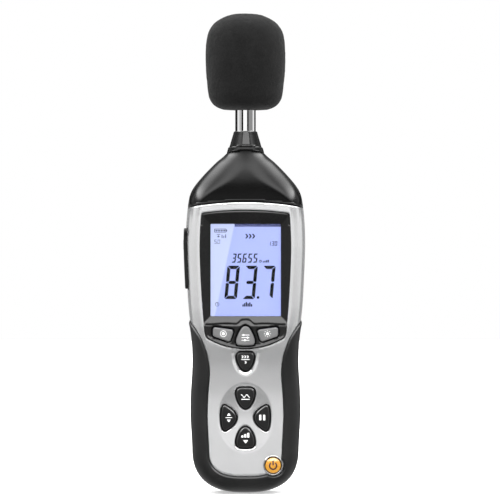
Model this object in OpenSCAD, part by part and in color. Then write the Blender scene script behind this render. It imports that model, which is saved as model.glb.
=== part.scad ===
// Hand-held sound level meter: a two-shell casing with a rubber grip, a windowed
// display, nine keys, a microphone on a metal tube and a foam windscreen.
// The model is drawn with its base at z = 0 and its parting plane at y = 0, front
// towards -y, and then moved so that the tripod thread's mouth is the origin.

/* [Casing] */
// Height of the casing's shoulders, where the neck starts
casing_h = 210.5; // [208:0.5:213]
// Largest width of the casing
casing_w = 74; // [72:0.5:76]
// Depth of the front half at the display
front_depth = 19; // [18.5:0.1:20]
// Depth of the rear half
rear_depth = 21; // [20.5:0.1:22]
// Width of the edge that rolls from the face to the side
edge_roll = 9.5; // [9:0.1:10]
// Wall thickness of both shells
wall = 2; // [1.8:0.1:2.2]
// Thickness of the moulded rubber grip
rubber = 2.2; // [2:0.1:2.4]

/* [Microphone] */
// Diameter of the microphone and its tube, a half-inch size
mic_d = 12.7; // [12.5:0.1:13.2]
// Height of the microphone's tip over the base
mic_top = 278; // [276:0.5:279]
// Diameter of the foam windscreen
foam_d = 49.4; // [48:0.2:52]
// Height of the foam windscreen
foam_h = 59.3; // [58:0.1:60]
// Height of the windscreen's underside over the base
foam_z = 237.2; // [236:0.1:238]

/* [Display] */
// Width of the visible display
window_w = 43; // [42:0.5:44]
// Height of the visible display
window_h = 56.8; // [56:0.2:57.4]
// Height of the display's lower edge over the base
window_z = 109.3; // [109:0.1:110]

/* [Keys] */
// Gap between each key and its opening
key_gap = 0.3; // [0.25:0.05:0.4]
// How far a key stands proud of the face around it
key_proud = 0.8; // [0.5:0.1:1]
// Travel that each key needs behind it
key_travel = 0.8; // [0.6:0.1:0.8]

/* [Rear] */
// Height of the tripod thread over the base
tripod_z = 143; // [142:0.5:146]
// Radius of the tripod thread's bore
tripod_r = 3.2; // [3.1:0.05:3.3]
// Depth of the tripod thread's bore
tripod_depth = 9; // [8:0.5:10]
// Width of the battery door
door_w = 36; // [35:0.5:37]

/* [Hidden] */

$fn = 48;
origin = [0, rear_depth, tripod_z]; // mouth of the tripod thread
widest = casing_w / 74;             // scale of the width points below
slack = 0.4;                        // gap between the grip and the shell under it
skin = rubber + slack;              // how far the shell steps in under the grip
fit = 0.15;                         // gap between pieces that lie side by side

// Height and half width of the casing's front outline, above its rounded base.
base_h = 28;
base_power = 2.5;
width_points = [
    [28, 33.1], [48, 34.1], [62, 33.9], [78, 33], [92, 33.2], [104, 34.2], [116, 35.4],
    [130, 36.2], [152, 37], [166, 36.7], [177, 35.7], [184, 34.4], [189, 31.9],
    [196, 26.2], [204, 18.4], [casing_h, 11.9]
];
// Height and depth of the two halves, above the base's rounding in depth.
toe_h = 16;
handle_depth = front_depth - 3.2;
front_points = [
    [16, handle_depth], [30, handle_depth], [50, handle_depth + 0.1],
    [70, front_depth - 2.7], [80, front_depth - 2.1], [92, front_depth - 0.9],
    [104, front_depth], [120, front_depth], [170, front_depth], [182, 18.5], [190, 17.5],
    [198, 15.7], [205, 13.5], [casing_h, 11.9]
];
rear_points = [
    [16, rear_depth], [30, rear_depth], [150, rear_depth], [170, rear_depth],
    [182, 20.2], [190, 18.6], [198, 16.2], [205, 13.8], [casing_h, 11.9]
];
// Height and half width of the plain panel between the grips.
panel_base = 10.7;
panel_power = 2.8;
panel_points = [
    [28, 22.6], [36, 23.1], [48, 23.4], [60, 23], [74, 22], [84, 23], [91, 25.4],
    [97, 28], [102, 30.8], [106, 33.8]
];
grip_top = 106;
seam_z = 176.1;  // seam of the nose at the sides
seam_bow = 3.3;  // how much higher the seam is in the middle
roll_power = 2.2;

mic_r = mic_d / 2;
bezel_front = front_depth + 0.3;
bezel_back = front_depth - 3.4;
board_front = 9;
board_t = 1.6;
stem_end = board_front + key_travel + 0.15;
door_z0 = 18;
door_z1 = 131;
door_t = 2;
door_screw_z = 127.8;
power_at = [17, 17.6];
power_r = 4.9;
screw_places = [[-30.3, 169], [30.3, 169], [-11, 14.4], [11, 14.4]];
port_z = 144.75; // middle of the port window
port_l = 37.5;
port_y = -3;
port_w = 13;
port_out = 38.2;
port_in = 36;

// Key outlines, as points that a closed spline goes through, from x and z.
shield = [
    [0, 7], [3.6, 6.8], [5.7, 5.4], [6.2, 2.6], [5.3, -1.6], [3, -5.4], [0, -7],
    [-3, -5.4], [-5.3, -1.6], [-6.2, 2.6], [-5.7, 5.4], [-3.6, 6.8]
];
lens_key = [
    [2.9, 8.3], [-0.6, 6.6], [-3.9, 3.6], [-5.3, 0], [-3.9, -3.8], [-0.6, -7],
    [2.6, -8.5], [4.6, -6.2], [5.4, 0], [4.8, 6]
];
setup_key = [
    [0, 5.8], [2.4, 4.4], [4.6, 0.4], [5.7, -3.2], [5, -5.4], [2.6, -5.9], [0, -6],
    [-2.6, -5.9], [-5, -5.4], [-5.7, -3.2], [-4.6, 0.4], [-2.4, 4.4]
];
wing_key = [[-6.6, 4.4], [6.3, 2.6], [3.8, -4.8], [-6.6, -1.2]];
wing_round = 1.5;

// ---------------------------------------------------------------- functions

function last(v) = v[len(v) - 1];
function blend01(t) = let (c = min(max(t, 0), 1)) c * c * (3 - 2 * c);
function cell_of(pts, z, i = 0) =
    i >= len(pts) - 2 || z < pts[i + 1][0] ? i : cell_of(pts, z, i + 1);
function slope_at(pts, i) =
    let (a = max(i - 1, 0), b = min(i + 1, len(pts) - 1))
    (pts[b][1] - pts[a][1]) / (pts[b][0] - pts[a][0]);
// Value of a smooth curve through points of [height, value].
function through(pts, z) =
    z <= pts[0][0] ? pts[0][1] :
    z >= last(pts)[0] ? last(pts)[1] :
    let (
        i = cell_of(pts, z),
        w = pts[i + 1][0] - pts[i][0],
        t = (z - pts[i][0]) / w
    )
    pts[i][1] * (1 + 2 * t) * (1 - t) * (1 - t)
        + pts[i + 1][1] * t * t * (3 - 2 * t)
        + slope_at(pts, i) * w * t * (1 - t) * (1 - t)
        - slope_at(pts, i + 1) * w * t * t * (1 - t);
// Height of a super-ellipse's arc at t, which is 0 at its foot and 1 at its crown.
function arch(t, power) =
    pow(1 - pow(1 - min(max(t, 0), 1), power), 1 / power);

function half_width(z, inset = 0) =
    z < base_h
        ? (width_points[0][1] * widest - inset)
            * arch((z - inset) / (base_h - inset), base_power)
        : through(width_points, z) * widest - inset;
function half_depth(points, z, inset = 0) =
    (min(through(points, z), rear_depth) - inset)
        * (z < toe_h ? arch((z - inset) / (toe_h - inset), base_power) : 1);
function roll(z, inset = 0) = min(edge_roll, half_width(z) * 0.98) - inset;
// Depth of the skin at x and z, counted from the parting plane.
function skin_depth(points, x, z, inset = 0) =
    half_depth(points, z, inset)
        * arch((half_width(z, inset) - abs(x)) / max(roll(z, inset), 1), roll_power);
function panel_half(z) =
    z < base_h
        ? panel_points[0][1] * arch((z - panel_base) / (base_h - panel_base), panel_power)
        : z < grip_top
            ? min(through(panel_points, z), half_width(z) - 1.8)
            : half_width(z) - 0.8;
function grip_thickness(z) = 0.4 + (rubber - 0.4) * blend01((grip_top - z) / 8);
function skin_at(z) =
    (grip_thickness(z) + slack) * blend01((grip_top + 0.8 - z) / 1.2);

function mirrored(pts) = [for (p = pts) [-p[0], p[1]]];
function closed_spline(pts, steps) =
    let (n = len(pts))
    [for (i = [0 : n - 1], k = [0 : steps - 1])
        let (
            t = k / steps,
            a = pts[(i + n - 1) % n], b = pts[i], c = pts[(i + 1) % n], d = pts[(i + 2) % n]
        )
        0.5 * (2 * b + (c - a) * t + (2 * a - 5 * b + 4 * c - d) * t * t
            + (3 * b - a - 3 * c + d) * t * t * t)];
function unit(v) = v / norm(v);
// A convex outline, clockwise or not, with each corner rounded by an arc.
function rounded(pts, r, steps = 5) =
    let (n = len(pts))
    [for (i = [0 : n - 1])
        let (
            p = pts[i],
            u = unit(pts[(i + n - 1) % n] - p),
            v = unit(pts[(i + 1) % n] - p),
            half = acos(u * v) / 2,
            mid = p + unit(u + v) * r / sin(half),
            a = p + u * r / tan(half),
            b = p + v * r / tan(half)
        )
        for (k = [0 : steps])
            mid + unit((a + (b - a) * k / steps) - mid) * r];
function box_outline(w, z0, z1) =
    [[-w / 2, z0], [w / 2, z0], [w / 2, z1], [-w / 2, z1]];
function bezel_outline(grow = 0) = concat(
    [for (i = [0 : 8])
        let (x = -27.2 + 54.4 * i / 8)
        [x * (1 + grow / 27.2), 174.6 - 1.9 * pow(x / 27.2, 2) + grow]],
    [[28 + grow, 150], [27.6 + grow, 132], [26.4 + grow, 110], [24.6 + grow, 96.4 - grow / 2]],
    [for (i = [1 : 7])
        let (x = 24.6 - 49.2 * i / 8)
        [x, 89.4 + 7 * pow(x / 24.6, 2) - grow]],
    [[-24.6 - grow, 96.4 - grow / 2], [-26.4 - grow, 110], [-27.6 - grow, 132],
        [-28 - grow, 150]]
);

// ---------------------------------------------------------------- tools

// A closed solid between an outer and an inner grid of points of the same size.
module sheet(outer, inner) {
    rows = len(outer);
    cols = len(outer[0]);
    all = rows * cols;
    function at(i, j) = i * cols + j;
    polyhedron(
        points = [for (grid = [outer, inner], row = grid, p = row) p],
        faces = concat(
            [for (i = [0 : rows - 2], j = [0 : cols - 2], f = [
                [at(i, j), at(i + 1, j), at(i + 1, j + 1)],
                [at(i, j), at(i + 1, j + 1), at(i, j + 1)],
                [all + at(i, j), all + at(i + 1, j + 1), all + at(i + 1, j)],
                [all + at(i, j), all + at(i, j + 1), all + at(i + 1, j + 1)]
            ]) f],
            [for (j = [0 : cols - 2], f = [
                [at(0, j), at(0, j + 1), all + at(0, j + 1)],
                [at(0, j), all + at(0, j + 1), all + at(0, j)],
                [at(rows - 1, j), all + at(rows - 1, j + 1), at(rows - 1, j + 1)],
                [at(rows - 1, j), all + at(rows - 1, j), all + at(rows - 1, j + 1)]
            ]) f],
            [for (i = [0 : rows - 2], f = [
                [at(i, 0), all + at(i + 1, 0), at(i + 1, 0)],
                [at(i, 0), all + at(i, 0), all + at(i + 1, 0)],
                [at(i, cols - 1), at(i + 1, cols - 1), all + at(i + 1, cols - 1)],
                [at(i, cols - 1), all + at(i + 1, cols - 1), all + at(i, cols - 1)]
            ]) f]
        )
    );
}

// A round wire along a list of points.
module wire(path, r, sides = 6) {
    n = len(path);
    function along(i) = unit(path[min(i + 1, n - 1)] - path[max(i - 1, 0)]);
    function side_of(i) = unit(cross(along(i), [0.3, 1, 0.2]));
    points = [for (i = [0 : n - 1], k = [0 : sides - 1])
        path[i] + r * (cos(360 * k / sides) * side_of(i)
            + sin(360 * k / sides) * cross(along(i), side_of(i)))];
    polyhedron(
        points = points,
        faces = concat(
            [[for (k = [0 : sides - 1]) k]],
            [[for (k = [0 : sides - 1]) n * sides - 1 - k]],
            [for (i = [0 : n - 2], k = [0 : sides - 1], f = [
                [i * sides + k, (i + 1) * sides + k, (i + 1) * sides + (k + 1) % sides],
                [i * sides + k, (i + 1) * sides + (k + 1) % sides, i * sides + (k + 1) % sides]
            ]) f]
        )
    );
}

// Extrudes an outline of x and z between two depths, counted towards the front.
module forward(outline, deep, shallow) {
    translate([0, -deep, 0])
        rotate([90, 0, 0])
            linear_extrude(height = shallow - deep)
                polygon(outline);
}

// A cylinder along y from y0 to y1.
module rod_y(r, y0, y1, at = [0, 0]) {
    translate([at[0], y1, at[1]])
        rotate([90, 0, 0])
            cylinder(r = r, h = y1 - y0);
}

// A cylinder along x from x0 to x1.
module rod_x(r, x0, x1, y, z) {
    translate([x0, y, z])
        rotate([0, 90, 0])
            cylinder(r = r, h = x1 - x0);
}

module box(low, high) {
    translate(low) cube(high - low);
}

module seated(paint) {
    color(paint) translate(-origin) children();
}

// ---------------------------------------------------------------- shells

// Heights at which the shells' rows lie, as a share from base to top.
foot_row = panel_base + 0.5; // the lowest row that is out at the panel's full depth
front_rows = [
    skin + 0.05, 3.3, 5.5, 8, 10.2, panel_base - 0.02, foot_row, 12.5, 14.5, 18, 23, 28,
    36, 48, 60, 74, 84, 91, 97, 102, 104.5, 106.5, 112, 120, 135, 152, 166, seam_z - fit
];
side_steps = 4;
face_steps = 12;
columns = concat(
    [for (j = [0 : side_steps]) [1, j / side_steps]],
    [for (i = [0 : face_steps]) [0, i / face_steps]],
    [for (j = [side_steps : -1 : 0]) [-1, j / side_steps]]
);
step_x = 0.4; // draft of the step between the panel and the skin under the grip

function column_x(c, z, inset) =
    let (
        foot = half_width(z, inset),
        edge = min(z > panel_base ? panel_half(z)
            : z > panel_base - 0.1 ? panel_half(foot_row)
            : foot * 0.6, foot - 1.5)
    )
    c[0] == 0
        ? edge * cos(180 * c[1])
        : c[0] * (foot + (edge + step_x - foot) * (1 - cos(90 * c[1])));
// One point of a half shell: side is -1 for the front half and 1 for the rear half.
function shell_point(points, side, c, row, bow) =
    let (
        inset = skin_at(row),
        share = column_x(c, row, inset) / half_width(row, inset),
        z = row + bow * (1 - share * share),
        x = share * half_width(z, skin_at(z)),
        y = skin_depth(points, x, z, c[0] == 0 && row > panel_base ? 0 : skin_at(z))
    )
    [x, side * y, z];
function inner_point(points, p, inset) =
    let (w = half_width(p[2], inset), d = half_depth(points, p[2], inset))
    [
        p[0] * max((w - wall) / w, 0.6),
        p[1] * max((d - wall) / d, 0.02),
        p[2] + wall * max(0, 1 - (p[2] - 3) / 12)
    ];

module half_shell(points, side, rows, bows) {
    outer = [for (i = [0 : len(rows) - 1])
        [for (c = columns) shell_point(points, side, c, rows[i], bows[i])]];
    inner = [for (row = outer)
        [for (p = row) inner_point(points, p, skin_at(p[2]))]];
    if (side > 0) sheet(outer, inner);
    else sheet(reverse(outer), reverse(inner));
}
function reverse(v) = [for (i = [len(v) - 1 : -1 : 0]) v[i]];

module port_window() {
    box([-40, port_y - port_w / 2 - key_gap, port_z - port_l / 2 - key_gap],
        [-30, port_y + port_w / 2 + key_gap, port_z + port_l / 2 + key_gap]);
    box([-40, port_y, port_z - 15.2], [-30, port_y + port_w / 2 + 1.8, port_z + 15.2]);
}

module front_casing() {
    bows = [for (z = front_rows) seam_bow * blend01((z - 150) / (seam_z - 150))];
    seated("silver") difference() {
        union() {
            half_shell(front_points, -1, front_rows, bows);
            for (p = screw_places)
                rod_y(2.4, -skin_depth(front_points, p[0], p[1]) + wall + skin_at(p[1]) / 2, -0.1, p);
        }
        forward(bezel_outline(fit), 5, 25);
        for (k = face_keys)
            forward(key_outline(k, key_gap), 5, 25);
        rod_y(power_r + 0.55, -25, -5, power_at);
        for (p = screw_places)
            rod_y(1.1, -12, 1, p);
        port_window();
    }
}

rear_rows = concat(
    [for (z = front_rows) if (z < 166) z],
    [166, 177, 184, 189, 196, 204, casing_h]
);

module rear_casing() {
    seated([0.09, 0.09, 0.1]) difference() {
        union() {
            half_shell(rear_points, 1, rear_rows, [for (z = rear_rows) 0]);
            for (p = screw_places)
                rod_y(p[1] > 100 ? 3.6 : 2.4, 0.1, rear_depth - 5.9, p);
            for (x = [-11, 11])
                box([x - 0.8, 0.1, 5], [x + 0.8, 12, 14]);
            rod_y(7, rear_depth - tripod_depth - 1, rear_depth - wall / 2, [0, tripod_z]);
            rod_y(2.6, 13, rear_depth - wall - 0.1, [0, door_screw_z]);
            box([-1.5, 13, door_screw_z + 2], [1.5, rear_depth - wall - 0.1, tripod_z - 5]);
        }
        forward(rounded(box_outline(door_w + 2 * key_gap, door_z0 - key_gap, door_z1 + key_gap),
            4), -rear_depth - 3, -rear_depth + door_t);
        box([-door_w / 2 - key_gap, rear_depth - door_t - 1.1, door_z0 - key_gap],
            [door_w / 2 + key_gap, rear_depth - door_t + 0.01, 120]);
        for (p = screw_places) {
            rod_y(1.4, -1, 30, p);
            rod_y(2.7, rear_depth - 6.5, 30, p);
        }
        rod_y(5.05, rear_depth - tripod_depth, 30, [0, tripod_z]);
        rod_y(1.7, 10, 30, [0, door_screw_z]);
        port_window();
    }
}

nose_rows = [0, 0.14, 0.3, 0.44, 0.58, 0.72, 0.86, 1];

module nose_cover() {
    rows = [for (t = nose_rows) seam_z + fit + (casing_h - seam_z - fit) * t];
    bows = [for (t = nose_rows) seam_bow * (1 - t)];
    seated([0.05, 0.05, 0.055])
        half_shell(front_points, -1, rows, bows);
}

// ---------------------------------------------------------------- grip

grip_rows = concat(
    [for (z = [grip_top, 103, 99, 94, 88, 80, 70, 60, 50, 40, 33]) [z, 0]],
    [for (a = [0 : 9 : 90]) [base_h, a]]
);
grip_columns = 7;

// Points on the silhouette and on the panel's edge at one place along the grip.
function outer_edge(row, inset) =
    row[1] == 0
        ? [half_width(row[0], inset), row[0]]
        : [
            (width_points[0][1] * widest - inset) * pow(cos(row[1]), 2 / base_power),
            base_h - (base_h - inset) * pow(sin(row[1]), 2 / base_power)
        ];
function inner_edge(row) =
    row[1] == 0
        ? [panel_half(row[0] - 0.01) + step_x + fit + 0.2, row[0]]
        : [
            (panel_points[0][1] + step_x + fit + 0.2) * pow(cos(row[1]), 2 / panel_power),
            base_h - (base_h - panel_base + fit + 0.2) * pow(sin(row[1]), 2 / panel_power)
        ];
function grip_point(points, side, row, j, share_in) =
    let (
        inset = share_in * grip_thickness(row[0]),
        a = 90 * j / grip_columns,
        out = outer_edge(row, inset),
        edge = inner_edge(row),
        p = out + (edge - out) * (1 - pow(cos(a), 2 / roll_power))
    )
    [p[0], side * (j == 0 ? 0 : skin_depth(points, p[0], p[1], inset)), p[1]];
function grip_grid(points, side, share_in) =
    let (
        right = [for (row = grip_rows)
            [for (j = [0 : grip_columns]) grip_point(points, side, row, j, share_in)]],
        left = [for (i = [len(right) - 2 : -1 : 0])
            [for (p = right[i]) [-p[0], p[1], p[2]]]]
    )
    concat(right, left);

module grip(points, side) {
    outer = grip_grid(points, side, 0);
    inner = grip_grid(points, side, 1);
    if (side < 0) sheet(outer, inner);
    else sheet(reverse(outer), reverse(inner));
}

module front_grip() {
    seated([0.1, 0.1, 0.1]) difference() {
        grip(front_points, -1);
        rod_y(power_r + 2.2, -30, -8, power_at);
    }
}

module rear_grip() {
    seated([0.1, 0.1, 0.1]) grip(rear_points, 1);
}

// ---------------------------------------------------------------- display

// The window's four sloped sides, wide at the front.
module window_funnel() {
    d0 = bezel_back - 0.01;
    d1 = bezel_front + 0.01;
    intersection() {
        translate([0, 0, window_z - 20])
            linear_extrude(height = window_h + 40)
                polygon([[-window_w / 2, -d0], [window_w / 2, -d0],
                    [window_w / 2 + 4.7, -d1], [-window_w / 2 - 4.7, -d1]]);
        translate([-40, 0, 0])
            rotate([90, 0, 90])
                linear_extrude(height = 80)
                    polygon([[-d0, window_z], [-d0, window_z + window_h],
                        [-d1, window_z + window_h + 5.4], [-d1, window_z - 4.6]]);
    }
}

module display_bezel() {
    seated([0.07, 0.07, 0.07]) difference() {
        forward(bezel_outline(), bezel_back, bezel_front);
        window_funnel();
        for (k = bezel_keys)
            forward(key_outline(k, key_gap), 5, 25);
    }
}

module display_lens() {
    seated([0.85, 0.9, 0.95, 0.4])
        forward(box_outline(window_w + 4, window_z - 2, window_z + window_h + 2),
            bezel_back - 1.3, bezel_back - 0.1);
}

module lcd_glass() {
    seated([0.72, 0.76, 1])
        forward(box_outline(window_w + 5, window_z - 4, window_z + window_h + 3),
            bezel_back - 4, bezel_back - 1.4);
}

module lcd_backlight() {
    seated("white")
        forward(box_outline(window_w + 3, window_z - 2, window_z + window_h + 3),
            board_front + 0.6, bezel_back - 4.1);
}

module lcd_connector() {
    seated([0.3, 0.3, 0.32])
        forward(box_outline(window_w - 3, window_z - 3.8, window_z - 2.2),
            board_front + 0.05, bezel_back - 4.1);
}

// ---------------------------------------------------------------- electronics

module main_board() {
    seated([0.1, 0.35, 0.16]) difference() {
        forward([[-19, 17.2], [19, 17.2], [23, 22], [23, 100], [25, 104], [25, 171],
            [-25, 171], [-25, 104], [-23, 100], [-23, 22]], board_front - board_t, board_front);
        rod_y(1.6, -20, 0, [0, 30]);
        rod_y(1.6, -20, 0, [0, 112]);
    }
}

module board_components() {
    back = -board_front + board_t;
    seated([0.2, 0.2, 0.22]) {
        box([-9, back, 52], [5, back + 2, 66]);
        box([-7, back, 84], [5, back + 1.8, 92]);
        box([-8, back, 134], [14, back + 3, 160]);
        rod_y(3.2, back, back + 8, [16, 146]);
        rod_y(2.5, back, back + 6, [18, 132]);
        box([9, back, 84], [15, back + 3.2, 87]);
    }
}

module keypad_mat() {
    seated([0.5, 0.5, 0.5]) difference() {
        forward([[-17, 18.5], [20.5, 18.5], [21.5, 23], [21.5, 103.5], [-21.5, 103.5],
            [-21.5, 23]], board_front + 0.05, board_front + 0.75);
        for (k = concat(face_keys, bezel_keys))
            rod_y(3, -20, 0, k[1]);
        rod_y(3, -20, 0, power_stem);
    }
}

// ---------------------------------------------------------------- keys

// Each key: its outline, its middle, and how deep its seat's front and back lie.
key_setup_at = [0, 97.4];
key_wing_at = [13.4, 98.3];
key_fast_at = [0, 81.6];
key_ac_at = [0, 58.9];
key_level_at = [0, 34.7];
key_max_at = [-10.2, 46.8];
power_stem = [16.5, 20.6];

function face_at(p) = skin_depth(front_points, p[0], p[1]);
// Depth of the casing's lining behind a place on its face.
function lining_at(p) =
    let (d = half_depth(front_points, p[1], skin)) face_at(p) * (d - wall) / d;
function seat_back(p) = lining_at([p[0], p[1] - 8.5]) - 0.15;
face_keys = [
    ["fast", key_fast_at, face_at(key_fast_at), seat_back(key_fast_at)],
    ["shield", key_ac_at, face_at(key_ac_at), seat_back(key_ac_at)],
    ["level", key_level_at, face_at(key_level_at), seat_back(key_level_at)],
    ["left", key_max_at, face_at(key_max_at), seat_back(key_max_at)],
    ["right", [-key_max_at[0], key_max_at[1]], face_at(key_max_at), seat_back(key_max_at)]
];
bezel_keys = [
    ["setup", key_setup_at, bezel_front - 0.8, bezel_back - 0.2],
    ["wing_left", [-key_wing_at[0], key_wing_at[1]], bezel_front - 0.8, bezel_back - 0.2],
    ["wing_right", key_wing_at, bezel_front - 0.8, bezel_back - 0.2]
];

function key_shape(kind) =
    kind == "fast" ? [for (p = closed_spline(shield, 3)) [p[0] * 0.94, p[1] * 0.9]] :
    kind == "shield" ? closed_spline(shield, 3) :
    kind == "level" ? [for (p = closed_spline(shield, 3)) [p[0], -p[1]]] :
    kind == "left" ? [for (p = closed_spline(lens_key, 3)) [-p[0], p[1]]] :
    kind == "right" ? closed_spline(lens_key, 3) :
    kind == "setup" ? closed_spline(setup_key, 3) :
    kind == "wing_left" ? rounded(wing_key, wing_round) :
    mirrored(rounded(wing_key, wing_round));
function reach(pts) = max([for (p = pts) norm(p)]);
// Grows an outline by about the same amount on each side, by scaling x and z apart.
function key_outline(k, grow = 0) =
    let (
        pts = key_shape(k[0]),
        sx = 1 + grow / max([for (p = pts) abs(p[0])]),
        sz = 1 + grow / max([for (p = pts) abs(p[1])])
    )
    [for (p = pts) [p[0] * sx, p[1] * sz] + k[1]];

module key(k, paint) {
    seated(paint) {
        forward(key_outline(k), k[3] - 0.5, k[2] + key_proud);
        forward(key_outline(k, 0.8), k[3] - 1.1, k[3]);
        rod_y(2, -k[3] + 1, -stem_end, k[1]);
    }
}

dark_key = [0.12, 0.12, 0.12];
grey_key = [0.55, 0.55, 0.56];

module key_record() { key(bezel_keys[1], grey_key); }
module key_setup() { key(bezel_keys[0], grey_key); }
module key_backlight() { key(bezel_keys[2], grey_key); }
module key_time_weighting() { key(face_keys[0], dark_key); }
module key_frequency_weighting() { key(face_keys[1], dark_key); }
module key_level_range() { key(face_keys[2], dark_key); }
module key_max_min() { key(face_keys[3], dark_key); }
module key_hold() { key(face_keys[4], dark_key); }

power_face = half_depth(front_points, power_at[1]);

module key_power() {
    seated([0.98, 0.7, 0.1]) {
        rod_y(power_r, -power_face - 1.2, -power_face + 3.4, power_at);
        rod_y(2, -power_face + 3, -stem_end, power_stem);
    }
}

module power_key_ring() {
    seated([0.75, 0.75, 0.76]) difference() {
        union() {
            rod_y(power_r + 1.3, -power_face - 0.9, -power_face - 0.1, power_at);
            rod_y(power_r + 0.5, -power_face - 0.5, -power_face + 2.6, power_at);
        }
        rod_y(power_r + 0.2, -30, 0, power_at);
    }
}

// ---------------------------------------------------------------- microphone

neck_top = 223.6;
tube_z0 = 194;
capsule_z = mic_top - 16;
grid_z = mic_top - 6;

module neck_collar() {
    seated([0.05, 0.05, 0.055])
        rotate_extrude()
            polygon([[mic_r + 0.1, 205], [9.4, 205], [9.4, casing_h + 0.15],
                [11.8, casing_h + 0.15], [11.6, 212.4], [10.6, 214.1], [7.6, neck_top - 1.6],
                [7.2, neck_top - 0.3], [6.9, neck_top], [mic_r + 0.1, neck_top]]);
}

module tube_seal() {
    seated([0.15, 0.15, 0.15])
        rotate_extrude()
            translate([mic_r + 1.1, 203.8])
                circle(r = 0.95, $fn = 24);
}

module mic_tube() {
    seated([0.8, 0.8, 0.82])
        rotate_extrude()
            polygon([[5.5, tube_z0], [mic_r, tube_z0], [mic_r, capsule_z - 0.3],
                [mic_r - 0.25, capsule_z], [5.5, capsule_z]]);
}

module mic_capsule() {
    seated([0.7, 0.7, 0.7])
        rotate_extrude()
            polygon([[0, capsule_z - 6], [5.3, capsule_z - 6], [5.3, capsule_z + 0.1],
                [mic_r, capsule_z + 0.1], [mic_r, grid_z - 0.1], [5.2, grid_z - 0.1],
                [5.2, grid_z - 3], [0, grid_z - 3]]);
}

module mic_diaphragm() {
    seated([0.85, 0.8, 0.6])
        translate([0, 0, grid_z - 2.4])
            cylinder(r = 5, h = 0.4);
}

module mic_grid() {
    seated([0.72, 0.72, 0.74]) difference() {
        translate([0, 0, grid_z])
            cylinder(r = mic_r, h = mic_top - grid_z);
        translate([0, 0, grid_z - 1])
            cylinder(r = mic_r - 0.9, h = mic_top - grid_z - 0.2);
        for (x = [-3.6, -1.8, 0, 1.8, 3.6])
            translate([x, 0, mic_top - 1])
                cube([0.7, 2 * sqrt(20 - x * x), 4], center = true);
    }
}

module mic_lead() {
    seated([0.2, 0.2, 0.2])
        translate([0, 0, tube_z0 - 0.2])
            cylinder(r = 1, h = capsule_z - 6.1 - tube_z0 + 0.2);
}

module preamp_board() {
    seated([0.1, 0.35, 0.16])
        box([-10, -0.8, 174], [10, 0.8, tube_z0 - 0.3]);
}

foam_side = 268; // height of the windscreen's widest ring
foam_steps = 14;
function foam_profile() = concat(
    [for (i = [0 : foam_steps])
        let (a = 90 - 90 * i / foam_steps, b = foam_side - foam_z)
        [foam_d / 2 * pow(cos(a), 2 / 4.5), foam_side - b * pow(sin(a), 2 / 4.5)]],
    [for (i = [1 : foam_steps])
        let (a = 90 * i / foam_steps, t = foam_z + foam_h - foam_side)
        [foam_d / 2 * pow(cos(a), 2 / 3), foam_side + t * pow(sin(a), 2 / 3)]]
);

module windscreen() {
    seated([0.1, 0.1, 0.1]) difference() {
        rotate_extrude() polygon(foam_profile());
        translate([0, 0, foam_z - 1])
            cylinder(r = mic_r + 0.1, h = mic_top + 1.5 - foam_z + 1);
    }
}

// ---------------------------------------------------------------- battery

cell_r = 7.1;
cell_l = 49.4;
cell_x = 7.5;
cell_y = 10.6;
holder_z0 = 17;
holder_z1 = 125;
holder_floor = 2.2;
holder_lip = 17.9;

module battery_holder() {
    seated([0.13, 0.13, 0.14]) difference() {
        box([-16, holder_floor, holder_z0], [16, holder_lip, holder_z1]);
        box([-15, holder_floor + 1, holder_z0 + 1], [15, 30, holder_z1 - 1]);
        box([-20, 15.8, holder_z0 - 1], [20, 30, holder_z0 + 6]);
    }
}

module battery(x, z, up) {
    seated([0.16, 0.3, 0.6]) {
        translate([x, cell_y, z + (up ? 0 : 1)])
            cylinder(r = cell_r, h = cell_l);
        translate([x, cell_y, z + (up ? cell_l - 0.5 : 0)])
            cylinder(r = 2.75, h = 1.5);
    }
}

cell_low = holder_z0 + 5.6;
cell_step = cell_l + 1.05;
module battery_lower_left() { battery(-cell_x, cell_low, true); }
module battery_upper_left() { battery(-cell_x, cell_low + cell_step, true); }
module battery_lower_right() { battery(cell_x, cell_low - 4.2, false); }
module battery_upper_right() { battery(cell_x, cell_low - 4.2 + cell_step, false); }

module battery_plates() {
    seated([0.75, 0.75, 0.72]) {
        box([-14.5, 4.5, holder_z0 + 1.02], [14.5, 15.5, holder_z0 + 1.32]);
        box([-14.5, 4.5, holder_z1 - 1.32], [-0.8, 16.5, holder_z1 - 1.02]);
        box([0.8, 4.5, holder_z1 - 1.32], [14.5, 16.5, holder_z1 - 1.02]);
    }
}

spring_turns = 3;
spring_points = 36;
function spring_path(x, z, dir) = [for (i = [0 : spring_points])
    let (t = i / spring_points, a = 360 * spring_turns * t, r = 5 - 2 * t)
    [x + r * cos(a), cell_y + r * sin(a), z + dir * (0.45 + 3.2 * t)]];

module battery_springs() {
    seated([0.78, 0.78, 0.76]) {
        wire(spring_path(-cell_x, holder_z0 + 1.35, 1), 0.4);
        wire(spring_path(cell_x, holder_z1 - 1.35, -1), 0.4);
    }
}

module battery_door() {
    seated([0.1, 0.1, 0.11]) difference() {
        union() {
            forward(rounded(box_outline(door_w, door_z0, door_z1), 4 - key_gap),
                -rear_depth, -rear_depth + door_t);
            for (x = [-4.5, 4.5]) {
                box([x - 2, rear_depth - 3.1, door_z0 + 0.4],
                    [x + 2, rear_depth - door_t + 0.5, door_z0 + 1.2]);
                box([x - 2, rear_depth - 3.1, door_z0 - 2.2],
                    [x + 2, rear_depth - door_t - 0.35, door_z0 + 1.2]);
            }
        }
        rod_y(1.5, 10, 30, [0, door_screw_z]);
        rod_y(2.75, rear_depth - 1.4, 30, [0, door_screw_z]);
        for (i = [0 : 4])
            box([-11, rear_depth - 0.5, 112 + 2.4 * i], [11, 30, 113.2 + 2.4 * i]);
    }
}

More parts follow.
